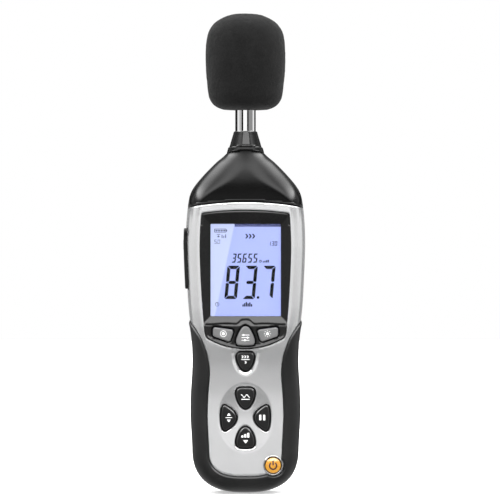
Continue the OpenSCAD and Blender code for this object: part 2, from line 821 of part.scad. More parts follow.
module battery_door_pad() {
    seated([0.25, 0.25, 0.25])
        box([-13, rear_depth - door_t - 0.95, 30], [13, rear_depth - door_t - 0.05, 110]);
}

module screw_head(at, head_y, r, shaft_r, tip_y) {
    difference() {
        union() {
            rod_y(r, head_y - 1.2, head_y, at);
            rod_y(shaft_r, tip_y, head_y - 1, at);
        }
        translate([at[0], head_y, at[1]]) {
            cube([3.2, 1.4, 0.7], center = true);
            cube([0.7, 1.4, 3.2], center = true);
        }
    }
}

module battery_door_screw() {
    seated([0.7, 0.7, 0.7])
        screw_head([0, door_screw_z], rear_depth - 0.15, 2.5, 1.25, 15.5);
}

module casing_screws() {
    seated([0.7, 0.7, 0.7])
        for (p = screw_places)
            screw_head(p, rear_depth - 5.25, 2.5, 1.05, -8);
}

module tripod_insert() {
    seated([0.75, 0.6, 0.3]) difference() {
        rod_y(5, rear_depth - tripod_depth + 0.02, rear_depth, [0, tripod_z]);
        rod_y(tripod_r, 0, 30, [0, tripod_z]);
    }
}

module rating_plate() {
    seated([0.6, 0.6, 0.62])
        box([-16, rear_depth + 0.02, 154], [16, rear_depth + 0.25, 168]);
}

// ---------------------------------------------------------------- ports

usb_at = 157;
jack_at = 150;
dc_at = 139.5;
trim_at = 130.5;
panel_x0 = -33.4;
panel_x1 = -32;

module port_cover() {
    seated([0.1, 0.1, 0.1]) {
        box([-port_out, port_y - port_w / 2, port_z - port_l / 2],
            [-port_in, port_y + port_w / 2, port_z + port_l / 2]);
        box([-port_out, port_y - port_w / 2 - 1.4, port_z + port_l / 2 - 5],
            [-port_out + 1, port_y - port_w / 2 + 1, port_z + port_l / 2 - 0.5]);
    }
}

module port_cover_anchor() {
    seated([0.1, 0.1, 0.1])
        box([-port_in - 1.2, port_y + port_w / 2 + 0.5, port_z - 15],
            [-port_in + 3.4, port_y + port_w / 2 + 1.6, port_z + 15]);
}

module port_panel() {
    seated([0.08, 0.08, 0.08]) difference() {
        translate([0, 0, port_z - 20])
            linear_extrude(40)
                polygon([[panel_x0, port_y + 6.9], [panel_x0, port_y - 2.6],
                    [panel_x1 - 0.3, port_y - 6.9], [panel_x1, port_y - 6.9],
                    [panel_x1, port_y + 6.9]]);
        box([-40, port_y - 4.1, usb_at - 4.1], [-30, port_y + 0.3, usb_at + 4.1]);
        rod_x(2.6, -40, -30, port_y, jack_at);
        rod_x(4, -40, -30, port_y, dc_at);
        rod_x(2, -40, -30, port_y, trim_at);
    }
}

module usb_socket() {
    seated([0.75, 0.75, 0.77]) difference() {
        box([panel_x0 + 0.2, port_y - 3.9, usb_at - 3.9], [-24.5, port_y + 0.1, usb_at + 3.9]);
        box([-40, port_y - 3.5, usb_at - 3.4], [-27, port_y - 0.3, usb_at + 3.4]);
    }
    seated([0.05, 0.05, 0.05])
        box([-33, port_y - 2.5, usb_at - 2.4], [-26.9, port_y - 1.6, usb_at + 2.4]);
}

module output_jack() {
    seated([0.07, 0.07, 0.07]) difference() {
        union() {
            rod_x(2.5, panel_x0 - 0.6, -31, port_y, jack_at);
            box([panel_x1 + 0.1, port_y - 3, jack_at - 2.9], [-21, port_y + 3, jack_at + 2.9]);
        }
        rod_x(1.8, -40, -23, port_y, jack_at);
    }
}

module dc_jack() {
    seated([0.07, 0.07, 0.07]) difference() {
        union() {
            rod_x(3.9, panel_x0 + 0.1, -31, port_y, dc_at);
            box([panel_x1 + 0.1, port_y - 4.2, dc_at - 4.6], [-20.5, port_y + 4.5, dc_at + 4.6]);
        }
        rod_x(2.85, -40, -24.5, port_y, dc_at);
    }
    seated([0.8, 0.8, 0.8]) rod_x(1, panel_x0 + 1, -24, port_y, dc_at);
}

module trimmer_body() {
    seated([0.15, 0.3, 0.6]) difference() {
        box([-30.5, port_y - 3.2, trim_at - 3.2], [-26, port_y + 3.2, trim_at + 3.2]);
        rod_x(1.8, -31, -28.4, port_y, trim_at);
    }
}

module trimmer_rotor() {
    seated([0.85, 0.85, 0.8]) difference() {
        rod_x(1.7, panel_x0 + 1.6, -28.6, port_y, trim_at);
        box([panel_x0 + 1, port_y - 0.25, trim_at - 2], [panel_x0 + 2.4, port_y + 0.25, trim_at + 2]);
    }
}

// ---------------------------------------------------------------- nodes

front_casing();
rear_casing();
nose_cover();
front_grip();
rear_grip();
neck_collar();
display_bezel();
display_lens();
lcd_glass();
lcd_backlight();
lcd_connector();
main_board();
board_components();
keypad_mat();
key_record();
key_setup();
key_backlight();
key_time_weighting();
key_frequency_weighting();
key_max_min();
key_hold();
key_level_range();
key_power();
power_key_ring();
mic_tube();
mic_capsule();
mic_diaphragm();
mic_grid();
mic_lead();
preamp_board();
tube_seal();
windscreen();
battery_holder();
battery_upper_left();
battery_upper_right();
battery_lower_left();
battery_lower_right();
battery_plates();
battery_springs();
battery_door();
battery_door_pad();
battery_door_screw();
casing_screws();
tripod_insert();
port_cover();
port_cover_anchor();
port_panel();
usb_socket();
dc_jack();
output_jack();
trimmer_body();
trimmer_rotor();
rating_plate();
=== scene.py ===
import math
import bpy
import numpy as np
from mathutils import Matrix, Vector, noise
from mathutils.geometry import delaunay_2d_cdt


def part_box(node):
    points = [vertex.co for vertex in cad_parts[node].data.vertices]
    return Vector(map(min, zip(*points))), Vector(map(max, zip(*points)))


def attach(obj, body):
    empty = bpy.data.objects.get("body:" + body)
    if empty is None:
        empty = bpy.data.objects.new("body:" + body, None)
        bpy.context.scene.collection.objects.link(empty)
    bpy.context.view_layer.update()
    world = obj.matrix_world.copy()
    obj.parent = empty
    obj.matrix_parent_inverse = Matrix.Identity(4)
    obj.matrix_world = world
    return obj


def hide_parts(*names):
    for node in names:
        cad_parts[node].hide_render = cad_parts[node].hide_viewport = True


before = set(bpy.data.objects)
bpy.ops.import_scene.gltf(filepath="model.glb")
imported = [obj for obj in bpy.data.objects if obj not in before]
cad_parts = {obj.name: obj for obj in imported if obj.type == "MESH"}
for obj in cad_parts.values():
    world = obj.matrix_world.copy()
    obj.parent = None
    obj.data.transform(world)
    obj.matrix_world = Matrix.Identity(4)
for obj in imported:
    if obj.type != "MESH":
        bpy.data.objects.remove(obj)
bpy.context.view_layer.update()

# Everything below is in millimetres from the middle of the base, with y = 0 on the
# casing's parting plane and the front towards -y.
PART_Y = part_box("front_casing")[1][1]
BASE_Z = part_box("front_grip")[0][2]


def to_frame(p):
    p = np.asarray(p, float) / 1000.0
    return p + np.array([0.0, PART_Y, BASE_Z])


def from_frame(p):
    return (np.asarray(p, float) - np.array([0.0, PART_Y, BASE_Z])) * 1000.0


def cad(node):
    lo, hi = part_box(node)
    return from_frame(lo), from_frame(hi)


# ------------------------------------------------------------ materials

MICRON = 1e-6


def feed(nt, node, values):
    """Sets inputs of a node: a socket is linked, and anything else is the input's value."""
    for key, value in values.items():
        if isinstance(value, bpy.types.NodeSocket):
            nt.links.new(value, node.inputs[key])
        else:
            node.inputs[key].default_value = value


def add(nt, kind, output, values, **settings):
    """A new node with its settings and inputs. Returns one of its outputs."""
    node = nt.nodes.new("ShaderNode" + kind)
    for key, value in settings.items():
        setattr(node, key, value)
    feed(nt, node, values)
    return node.outputs[output]


def nodes_of(name):
    m = bpy.data.materials.new(name)
    m.use_nodes = True
    return m, m.node_tree, m.node_tree.nodes["Principled BSDF"]


def place_in(nt):
    return add(nt, "TexCoord", "Object", {})


def mix_colour(nt, fac, a, b):
    return add(nt, "Mix", "Result", {"Factor": fac, "A": a, "B": b}, data_type="RGBA")


def noise_at(nt, scale, detail, rough=0.55):
    return add(nt, "TexNoise", "Fac", {"Scale": scale, "Detail": detail, "Roughness": rough, "Vector": place_in(nt)})


def ramp(nt, fac, lo, hi, a, b, **settings):
    values = {"From Min": lo, "From Max": hi, "To Min": a, "To Max": b, "Value": fac}
    return add(nt, "MapRange", "Result", values, **settings)


def bump(nt, height, strength, distance):
    return add(nt, "Bump", "Normal", {"Strength": strength, "Distance": distance, "Height": height})


def colour(c, tint=0.0):
    """A grey level, tinted towards blue, or a red, green and blue, as a colour with its alpha."""
    return (c, c * (1 + tint * 0.3), c * (1 + tint), 1) if np.isscalar(c) else (*c, 1)


def material(name, dark, light, rough, metal=0.0, grain=3000, grain_um=6, patch=60, rough_span=0.06, coat=0.0,
             specular=0.5, tint=0.0):
    """A moulded or painted surface: slow colour patches, a fine grain some micrometres deep, uneven gloss."""
    m, nt, b = nodes_of(name)
    slow, fine = noise_at(nt, patch, 4), noise_at(nt, grain, 2, 0.6)
    feed(nt, b, {
        "Base Color": mix_colour(nt, ramp(nt, slow, 0.35, 0.65, 0, 1), colour(dark, tint), colour(light, tint)),
        "Roughness": ramp(nt, fine, 0.3, 0.7, rough - rough_span, rough + rough_span),
        "Metallic": metal, "Specular IOR Level": specular, "Coat Weight": coat, "Coat Roughness": 0.15})
    if grain_um:
        feed(nt, b, {"Normal": bump(nt, fine, 0.6, grain_um * MICRON)})
    return m


SILVER = material("silver_paint", 0.55, 0.59, 0.22, metal=0.8, grain=5200, grain_um=3, patch=25, rough_span=0.04,
                  tint=0.01)
BLACK = material("black_casing", 0.0015, 0.0025, 0.21, grain=2600, patch=40, specular=0.1)
BACK = material("black_textured", 0.009, 0.012, 0.46, grain=1500, grain_um=40, patch=40, specular=0.22)
RUBBER = material("grip_rubber", 0.005, 0.0075, 0.38, grain=3200, grain_um=8, patch=35, rough_span=0.05, specular=0.3)
BEZEL = material("bezel_black", 0.003, 0.0045, 0.3, specular=0.26)
# painted light: the bezel's own black made lighter for the upward-facing slope below the display
SILL_PAINTED_LIGHT = material("bezel_sill_painted_light", 0.01, 0.013, 0.36, specular=0.26)
# painted highlight: a lighter black for the collar's front flat, standing in for a reflected strip of light
RIB_PAINTED_HIGHLIGHT = material("collar_rib_painted_highlight", 0.01, 0.014, 0.34, specular=0.3)
# painted shade: a darker black for the trench round the keys and the keys' own sides and border
SURROUND_PAINTED_SHADE = material("key_surround_painted_shade", 0.002, 0.003, 0.5, grain_um=8, specular=0.08)
KEY_DARK = material("key_dark", 0.006, 0.008, 0.36, grain=3500, specular=0.18)
# painted highlight: a lighter black on each dark key's step up to its top, for the bevel catching light
KEY_EDGE_PAINTED_HIGHLIGHT = material("key_edge_painted_highlight", 0.012, 0.015, 0.3, grain=3500, grain_um=0, specular=0.45)
KEY_GREY = material("key_grey", 0.1, 0.115, 0.42, grain=3500, specular=0.3, tint=0.01)
PRINT = material("key_print", 0.82, 0.9, 0.5, grain=4000, grain_um=0)
ORANGE = material("power_orange", (0.38, 0.17, 0.006), (0.44, 0.2, 0.009), 0.26, grain_um=4, coat=0.8)
SYMBOL = material("power_symbol", (0.035, 0.006, 0.004), (0.045, 0.009, 0.005), 0.45, grain_um=0)
CHROME = material("polished_tube", 0.84, 0.88, 0.035, metal=1.0, grain=6000, grain_um=0, rough_span=0.012)
RING = material("satin_ring", 0.36, 0.4, 0.2, metal=0.9, grain=4000, grain_um=3)
STEEL = material("plated_steel", 0.5, 0.58, 0.28, metal=1.0, grain=5000, grain_um=3)
BRASS = material("turned_brass", (0.6, 0.4, 0.14), (0.72, 0.5, 0.2), 0.26, metal=1.0, grain=4000, grain_um=4)
BOARD = material("circuit_board", (0.004, 0.06, 0.02), (0.008, 0.09, 0.03), 0.35, grain=900, grain_um=10, patch=120)
PART_BLACK = material("moulded_part", 0.02, 0.03, 0.5, grain=2500, grain_um=10)
SILICONE = material("silicone", 0.2, 0.24, 0.55, grain=2500, grain_um=10)
CELL = material("cell_sleeve", (0.012, 0.03, 0.12), (0.016, 0.04, 0.15), 0.3, grain_um=4, coat=0.3)
PLATE = material("blank_plate", 0.4, 0.46, 0.42, metal=0.6, grain=4000, grain_um=4)
FLAP = material("flap_rubber", 0.004, 0.006, 0.5, grain_um=15, specular=0.2)
BLUE = material("trimmer_blue", (0.01, 0.05, 0.25), (0.015, 0.07, 0.3), 0.3, grain_um=4)
WHITE = material("rotor_white", 0.6, 0.7, 0.35, grain_um=4)
GUIDE = material("light_guide", 0.7, 0.78, 0.4, grain_um=0)


def foam_material():
    m, nt, b = nodes_of("foam")
    pores = add(nt, "TexVoronoi", "Distance", {"Scale": 1500, "Vector": place_in(nt)})
    feed(nt, b, {
        "Base Color": mix_colour(nt, ramp(nt, pores, 0.1, 0.6, 0, 1), colour(0.001), colour(0.0045)),
        "Roughness": ramp(nt, noise_at(nt, 130, 4), 0.3, 0.7, 0.82, 0.95), "Specular IOR Level": 0.15,
        "Sheen Weight": 0.035, "Sheen Roughness": 0.5, "Normal": bump(nt, pores, 0.7, 250 * MICRON)})
    return m


def lit_material():
    """The backlit liquid crystal: a blue-violet glow, with a painted glare reflection that makes it paler on the left
    of a straight line down the glass.
    """
    m, nt, b = nodes_of("lcd_glow")
    glow = mix_colour(nt, ramp(nt, noise_at(nt, 30, 2), 0.3, 0.7, 0, 1), (0.39, 0.465, 1, 1), (0.42, 0.49, 1, 1))
    top, foot, half_blur = np.array([-6.7, 166.1]), np.array([-18.8, 109.4]), 0.0004
    line = (top - foot) / np.linalg.norm(top - foot)
    across = (-line[1], 0, line[0])
    at = float(np.dot(across, to_frame([foot[0], 0, foot[1]])))
    dot = add(nt, "VectorMath", "Value", {0: place_in(nt), 1: across}, operation="DOT_PRODUCT")
    # painted reflection: the glow is paler left of the line, standing in for glare on the lens
    painted_glare = mix_colour(nt, ramp(nt, dot, at - half_blur, at + half_blur, 0, 1), glow, (0.62, 0.69, 1, 1))
    feed(nt, b, {"Emission Color": painted_glare, "Emission Strength": 0.77, "Base Color": (0.05, 0.06, 0.12, 1),
                 "Roughness": 0.4})
    return m


def lens_material():
    m, nt, b = nodes_of("clear_lens")
    feed(nt, b, {"Base Color": (0.97, 0.98, 1, 1), "Transmission Weight": 1.0, "IOR": 1.16,
                 "Roughness": ramp(nt, noise_at(nt, 900, 2), 0.3, 0.7, 0.0, 0.02)})
    return m


FOAM, LIT, LENS = foam_material(), lit_material(), lens_material()
PRINTED = {"grain": 2000, "grain_um": 0}
INK = material("lcd_ink", 0.001, 0.002, 0.6, specular=0.05, **PRINTED)
INK_PALE = material("lcd_ink_pale", (0.03, 0.035, 0.07), (0.035, 0.04, 0.08), 0.6, specular=0.1, **PRINTED)
SHADE = material("lcd_shade", (0.07, 0.08, 0.19), (0.075, 0.085, 0.2), 0.6, specular=0.1, **PRINTED)


# ------------------------------------------------------------ shape functions

def cols(*values):
    """Arrays side by side, as the columns of one."""
    return np.stack(values, 1)


def around(n):
    return np.linspace(0, 2 * np.pi, n, endpoint=False)


def spline(points):
    """A smooth curve through (place, value) points."""
    p = np.array(points, float)
    z, v = p[:, 0], p[:, 1]
    s = np.empty(len(p))
    for i in range(len(p)):
        a, b = max(i - 1, 0), min(i + 1, len(p) - 1)
        s[i] = (v[b] - v[a]) / (z[b] - z[a])

    def f(q):
        q = np.clip(np.asarray(q, float), z[0], z[-1])
        i = np.clip(np.searchsorted(z, q, "right") - 1, 0, len(z) - 2)
        w = z[i + 1] - z[i]
        t = (q - z[i]) / w
        return (v[i] * (1 + 2 * t) * (1 - t) ** 2 + v[i + 1] * t * t * (3 - 2 * t)
                + s[i] * w * t * (1 - t) ** 2 - s[i + 1] * w * t * t * (1 - t))
    return f


def arch(t, p):
    return (1 - (1 - np.clip(t, 0, 1)) ** p) ** (1 / p)


def smooth01(t):
    c = np.clip(t, 0, 1)
    return c * c * (3 - 2 * c)


def soft_max(a, b, k):
    h = np.clip(0.5 + 0.5 * (a - b) / k, 0, 1)
    return b * (1 - h) + a * h + k * h * (1 - h)


def soft_min(a, b, k):
    return -soft_max(-a, -b, k)


BASE_H, BASE_P, BASE_W = 28.0, 2.5, 33.1
TOE_H = {-1: 12.5, 1: 16.0}
width_line = spline([(28, 33.1), (48, 34.1), (62, 33.9), (78, 33), (92, 33.2), (104, 34.2), (116, 35.4), (130, 36.2),
                     (152, 37), (166, 36.7), (177, 35.7), (184, 34.4), (189, 31.9), (196, 26.2), (204, 18.4),
                     (209.6, 12.1), (214, 10.9)])
front_line = spline([(16, 15.75), (30, 15.75), (48, 15.8), (60, 16.0), (70, 16.45), (80, 17.1), (92, 18.2), (104, 19),
                     (120, 19.05), (170, 19.05), (182, 18.5), (190, 17.5), (198, 15.7), (205, 13.6), (210.5, 12.2),
                     (214, 11.6)])
rear_line = spline([(16, 21), (30, 21), (150, 21), (170, 21), (182, 20.2), (190, 18.6), (198, 16.2), (205, 13.8),
                    (210.5, 12.0), (214, 11.2)])
panel_line = spline([(10.69, 22.5), (28, 22.5), (36, 22.95), (48, 23.4), (60, 23.0), (67, 22.4), (74, 22.0), (80, 22.4),
                     (86.5, 23.6), (91.5, 25.4), (95.6, 27.1), (99.3, 29.3), (103, 31.8), (105.2, 33.6), (106.6, 34.4)])
GRIP_TOP = 106.6
PANEL_BASE, PANEL_P, PANEL_W = 10.7, 2.8, 22.5
POWER = np.array([17.0, 17.6])
POWER_R, KNOB_R = 4.9, 6.5
SEAM_Z, NECK_Z = 177.0, 209.3
SEAM_GAP = 0.12


def half_width(z):
    z = np.asarray(z, float)
    return np.where(z < BASE_H, BASE_W * arch(z / BASE_H, BASE_P), width_line(z))


def half_depth(side, z):
    line, toe = front_line if side < 0 else rear_line, TOE_H[side]
    return line(z) * np.where(np.asarray(z) < toe, arch(np.asarray(z) / toe, BASE_P), 1)


def roundness(z):
    return smooth01((np.asarray(z, float) - 178) / 27)


def roll_at(z):
    w = half_width(z)
    s = roundness(z)
    return np.minimum(9.5, w * 0.98) * (1 - s) + w * s


def power_at_height(z):
    return 2.2 - 0.2 * roundness(z)


def arc_at(side, z):
    r, d = roll_at(z), half_depth(side, z)
    return np.pi / 2 * np.sqrt((r * r + d * d) / 2)


def reach(side, z):
    """Unrolled distance from the middle to the parting plane at height z."""
    return half_width(z) - roll_at(z) + arc_at(side, z)


def unroll(side, x, z):
    """Unrolled coordinate of a point at x on the front or rear skin."""
    x, z = np.asarray(x, float), np.asarray(z, float)
    flat = half_width(z) - roll_at(z)
    t = np.clip((np.abs(x) - flat) / roll_at(z), 0, 1)
    a = np.arcsin(np.clip(t ** (power_at_height(z) / 2), 0, 1)) / (np.pi / 2)
    return np.sign(x) * np.where(np.abs(x) <= flat, np.abs(x), flat + a * arc_at(side, z))


def unrolled(side, loop):
    return cols(unroll(side, loop[:, 0], loop[:, 1]), loop[:, 1])


def body_skin(side, uz, sink=None):
    """Points on the casing's skin from unrolled coordinates and heights."""
    u, z = uz[:, 0], uz[:, 1]
    flat, r, p, d = half_width(z) - roll_at(z), roll_at(z), power_at_height(z), half_depth(side, z)
    a = np.clip((np.abs(u) - flat) / arc_at(side, z), 0, 1) * np.pi / 2
    x = np.where(np.abs(u) <= flat, np.abs(u), flat + r * np.sin(a) ** (2 / p)) * np.sign(u)
    y = np.where(np.abs(u) <= flat, d, d * np.clip(np.cos(a), 0, 1) ** (2 / p))
    if sink is not None:
        y = y - sink(x, z)
    return cols(x, side * y, z)


def closed_spline(pts, steps):
    p = np.array(pts, float)
    out = []
    n = len(p)
    for i in range(n):
        a, b, c, d = p[i - 1], p[i], p[(i + 1) % n], p[(i + 2) % n]
        for k in range(steps):
            t = k / steps
            out.append(0.5 * (2 * b + (c - a) * t + (2 * a - 5 * b + 4 * c - d) * t * t
                              + (3 * b - a - 3 * c + d) * t ** 3))
    return np.array(out)


def rounded(pts, radius, steps=8):
    """A convex or concave outline with each corner rounded by an arc."""
    p = np.array(pts, float)
    n = len(p)
    radii = np.broadcast_to(np.asarray(radius, float), (n,))
    out = []
    for i in range(n):
        a, b, c = p[i - 1], p[i], p[(i + 1) % n]
        u, v = (a - b) / np.linalg.norm(a - b), (c - b) / np.linalg.norm(c - b)
        half = math.acos(float(np.clip(u @ v, -1, 1))) / 2
        if radii[i] <= 0 or half > math.pi / 2 - 0.02:
            out.append(b)
            continue
        r = min(radii[i], 0.48 * min(np.linalg.norm(a - b), np.linalg.norm(c - b)) * math.tan(half))
        mid = b + (u + v) / np.linalg.norm(u + v) * r / math.sin(half)
        s, e = b + u * r / math.tan(half) - mid, b + v * r / math.tan(half) - mid
        a0, a1 = math.atan2(s[1], s[0]), math.atan2(e[1], e[0])
        turn = (a1 - a0 + math.pi) % (2 * math.pi) - math.pi
        for k in range(steps + 1):
            w = a0 + turn * k / steps
            out.append(mid + r * np.array([math.cos(w), math.sin(w)]))
    return np.array(out)


def area(loop):
    x, y = loop[:, 0], loop[:, 1]
    return 0.5 * np.sum(x * np.roll(y, -1) - np.roll(x, -1) * y)


def ccw(loop):
    return loop if area(loop) > 0 else loop[::-1]


def normals2(loop):
    """Outward normals of a counter-clockwise loop."""
    e = np.roll(loop, -1, 0) - loop
    e /= np.maximum(np.linalg.norm(e, axis=1), 1e-9)[:, None]
    n = cols(e[:, 1], -e[:, 0])
    m = n + np.roll(n, 1, 0)
    m /= np.maximum(np.linalg.norm(m, axis=1), 1e-9)[:, None]
    c = np.clip(np.sum(m * n, 1), 0.55, 1)
    return m / c[:, None]


def even(loop, step):
    """The loop with long edges divided, keeping its corners."""
    out = []
    for a, b in zip(loop, np.roll(loop, -1, 0)):
        n = max(1, int(math.ceil(np.linalg.norm(b - a) / step)))
        out += [a + (b - a) * k / n for k in range(n)]
    return np.array(out)


def spaced(loop, step):
    """The loop resampled at an even spacing."""
    p = np.vstack([loop, loop[:1]])
    s = np.concatenate([[0], np.cumsum(np.linalg.norm(np.diff(p, axis=0), axis=1))])
    n = max(12, int(round(s[-1] / step)))
    q = np.linspace(0, s[-1], n, endpoint=False)
    return cols(np.interp(q, s, p[:, 0]), np.interp(q, s, p[:, 1]))


def inside(pts, loop):
    x, y = pts[:, 0], pts[:, 1]
    odd = np.zeros(len(pts), bool)
    for (x0, y0), (x1, y1) in zip(loop, np.roll(loop, -1, 0)):
        if y0 == y1:
            continue
        hit = ((y0 > y) != (y1 > y)) & (x < (x1 - x0) * (y - y0) / (y1 - y0) + x0)
        odd ^= hit
    return odd


def gap_to(pts, loop):
    """Distance from each point to the loop's segments."""
    best = np.full(len(pts), 1e9)
    a, b = loop, np.roll(loop, -1, 0)
    for p, q in zip(a, b):
        d = q - p
        t = np.clip(((pts - p) @ d) / max(d @ d, 1e-12), 0, 1)
        best = np.minimum(best, np.linalg.norm(pts - p - t[:, None] * d, axis=1))
    return best


def box_loop(x0, x1, z0, z1, r=0.0):
    pts = [(x0, z0), (x1, z0), (x1, z1), (x0, z1)]
    return rounded(pts, r) if r else np.array(pts, float)


def circle(c, r, n=72):
    a = around(n)
    return cols(c[0] + r * np.cos(a), c[1] + r * np.sin(a))


# ------------------------------------------------------------ mesh tools

def piece(name, verts, faces, mat, body="meter", stands_for=None, slot=None, smooth=True, sharp=None):
    me = bpy.data.meshes.new(name)
    me.from_pydata([tuple(v) for v in to_frame(verts)], [], faces)
    me.validate()
    me.materials.append(mat)
    if smooth:
        me.shade_smooth()
        if sharp:
            me.set_sharp_from_angle(angle=math.radians(sharp))
    ob = bpy.data.objects.new(name, me)
    bpy.context.scene.collection.objects.link(ob)
    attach(ob, body)
    if stands_for:
        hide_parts(stands_for)
    return ob


def band(g, h, back=False):
    """Quads between two rings of vertex numbers."""
    quads = [tuple(int(v) for v in q) for q in zip(g, h, np.roll(h, -1), np.roll(g, -1))]
    return [q[::-1] for q in quads] if back else quads


def rings_of(count, m):
    return [list(range(k * m, k * m + m)) for k in range(count)]


def bands(count, m):
    """Quads between consecutive rings of m vertices each."""
    rings = rings_of(count, m)
    return [q for g, h in zip(rings, rings[1:]) for q in band(g, h)]


def sweep(rings, closed=True):
    """Faces between each ring of vertex numbers and the next, where a ring may be one vertex repeated."""
    faces = []
    for g, h in zip(rings, rings[1:] + (rings[:1] if closed else [])):
        for corners in zip(g, g[1:] + g[:1], h[1:] + h[:1], h):
            face = tuple(dict.fromkeys(corners))
            if len(face) > 2:
                faces.append(face)
    return faces


def flipped(faces):
    return [f[::-1] for f in faces]


def fill(loops, points, step):
    """Triangles inside loops[0] and outside the others. Returns points, triangles and each loop's vertex numbers."""
    pts, edges, where = [], [], []
    for loop in loops:
        base = len(pts)
        pts += [tuple(p) for p in loop]
        n = len(loop)
        edges += [(base + i, base + (i + 1) % n) for i in range(n)]
        where.append(np.arange(base, base + n))
    keep = inside(points, loops[0]) & (gap_to(points, loops[0]) > step * 0.5)
    for loop in loops[1:]:
        keep &= ~inside(points, loop)
        near = (points[:, 0] > loop[:, 0].min() - step) & (points[:, 0] < loop[:, 0].max() + step)
        idx = np.where(keep & near)[0]
        if len(idx):
            keep[idx] &= gap_to(points[idx], loop) > step * 0.5
    pts += [tuple(p) for p in points[keep]]
    v, _, f, ov, _, _ = delaunay_2d_cdt([Vector(p) for p in pts], edges, [], 0, 1e-7)
    v = np.array([(p.x, p.y) for p in v])
    back = {}
    for new, olds in enumerate(ov):
        for o in olds:
            back[o] = new
    tri = np.array([t for t in f if len(t) == 3])
    c = v[tri].mean(1)
    ok = inside(c, loops[0])
    for loop in loops[1:]:
        ok &= ~inside(c, loop)
    tri = tri[ok]
    a, b, d = v[tri[:, 0]], v[tri[:, 1]], v[tri[:, 2]]
    flip = (b[:, 0] - a[:, 0]) * (d[:, 1] - a[:, 1]) - (b[:, 1] - a[:, 1]) * (d[:, 0] - a[:, 0]) < 0
    tri[flip] = tri[flip][:, ::-1]
    return v, tri, [np.array([back[i] for i in w]) for w in where]


def grid_points(loop, step):
    lo, hi = loop.min(0), loop.max(0)
    xs = np.arange(lo[0], hi[0] + step, step)
    zs = np.arange(lo[1], hi[1] + step, step * 0.87)
    gx, gz = np.meshgrid(xs, zs)
    gx[1::2] += step / 2
    return cols(gx.ravel(), gz.ravel())


def skin(name, outer, holes, surface, side, mat, step=1.1, wall=2.0, radius=0.45, hole_radius=0.3, extra=None,
         arcs=4, second=(), **kw):
    """A closed shell over a surface of unrolled coordinates, with rounded edges round its outline and holes."""
    loops, tops, outs, radii = [ccw(outer)] + [ccw(h) for h in holes], [], [], []
    hole_radius = [hole_radius] * len(holes) if np.isscalar(hole_radius) else list(hole_radius)
    for i, loop in enumerate(loops):
        loop = even(loop, step * 0.7)
        n = normals2(loop)
        r = radius if i == 0 else hole_radius[i - 1]
        tops.append(loop - n * r if i == 0 else loop + n * r)
        outs.append(n if i == 0 else -n)
        radii.append(r)
    pts = grid_points(tops[0], step)
    if extra is not None:
        pts = np.vstack([pts, extra])
    uz, tri, at = fill(tops, pts, step)

    def normal(q):
        e = 0.04
        du = surface(q + [e, 0]) - surface(q - [e, 0])
        dz = surface(q + [0, e]) - surface(q - [0, e])
        n = np.cross(du, dz) * -side
        return n / np.maximum(np.linalg.norm(n, axis=1), 1e-12)[:, None]
    top, nrm = surface(uz), normal(uz)
    verts = [top]
    count = len(top)
    faces = [tuple(t) if side < 0 else tuple(t[::-1]) for t in tri]
    inner_index = np.arange(len(uz)) + count
    inner = top - nrm * wall
    verts.append(inner)
    count += len(inner)
    for w, m, r in zip(at, outs, radii):
        base, bn = uz[w], nrm[w]
        rings = [w]
        for k in range(1, arcs + 1):
            a = math.pi / 2 * k / arcs
            pos = surface(base + m * r * math.sin(a)) - bn * r * (1 - math.cos(a))
            verts.append(pos)
            rings.append(np.arange(count, count + len(w)))
            count += len(w)
        # the wall's foot is the inner skin's own edge
        inner[w] = pos - bn * (wall - r)
        rings.append(inner_index[w])
        forward = (m[0] @ normals2(base)[0]) > 0
        for g, h in zip(rings[:-1], rings[1:]):
            faces += band(g, h, forward != (side < 0))
    faces += [tuple(inner_index[t[::-1]]) if side < 0 else tuple(inner_index[t]) for t in tri]
    ob = piece(name, np.vstack(verts), faces, mat, **kw)
    mid = from_frame([tuple(f.center) for f in ob.data.polygons])
    for k, (mat2, test) in enumerate(second, 1):
        ob.data.materials.append(mat2)
        for f, hit in zip(ob.data.polygons, test(mid)):
            if hit:
                f.material_index = k
    return ob


def lathe(name, profile, mat, seg=96, centre=(0, 0), axis="z", closed=True, uneven=None, **kw):
    """Turns a profile of (radius, place) about the z or y axis. uneven changes a point by its row and direction."""
    prof = np.array(profile, float)
    turns = [(math.cos(t), math.sin(t)) for t in around(seg)]
    verts, rings = [], []
    for row, (r, h) in enumerate(prof):
        at = len(verts)
        if abs(r) < 1e-6:
            rings.append([at] * seg)
            verts.append((0, 0, h))
            continue
        rings.append(list(range(at, at + seg)))
        for c, s in turns:
            q, z = uneven(row, r, h, c, s) if uneven else (r, h)
            verts.append((q * c, q * s, z))
    faces = sweep(rings, closed)
    v = np.array(verts, float)
    if axis == "y":
        v = cols(v[:, 0], v[:, 2], -v[:, 1]) + [centre[0], 0, centre[1]]
    else:
        v = v + [centre[0], centre[1], 0]
    return piece(name, v, flipped(faces) if area(prof) < 0 else faces, mat, **kw)


def prisms(name, polys, height, thick, mat, step=0.6, side=-1, **kw):
    """Thin closed marks: each outline stands thick proud of the height function, and is sunk a little into it."""
    sunk = 0.05
    verts, faces = [], []
    for poly in polys:
        loops = [even(ccw(np.array(l, float)), step) for l in (poly if isinstance(poly, list) else [poly])]
        uz, tri, at = fill(loops, grid_points(loops[0], step), step * 0.6)
        h, base, n = height(uz[:, 0], uz[:, 1]), len(verts), len(uz)
        for lift in (thick, -sunk):
            verts += [(x, side * (d + lift), z) for (x, z), d in zip(uz, h)]
        faces += [tuple(t) for t in tri + base] + [tuple(t[::-1]) for t in tri + base + n]
        for i, w in enumerate(at):
            faces += band(base + w, base + n + w, i > 0)
    return piece(name, np.array(verts), flipped(faces) if side > 0 else faces, mat, smooth=False, **kw)


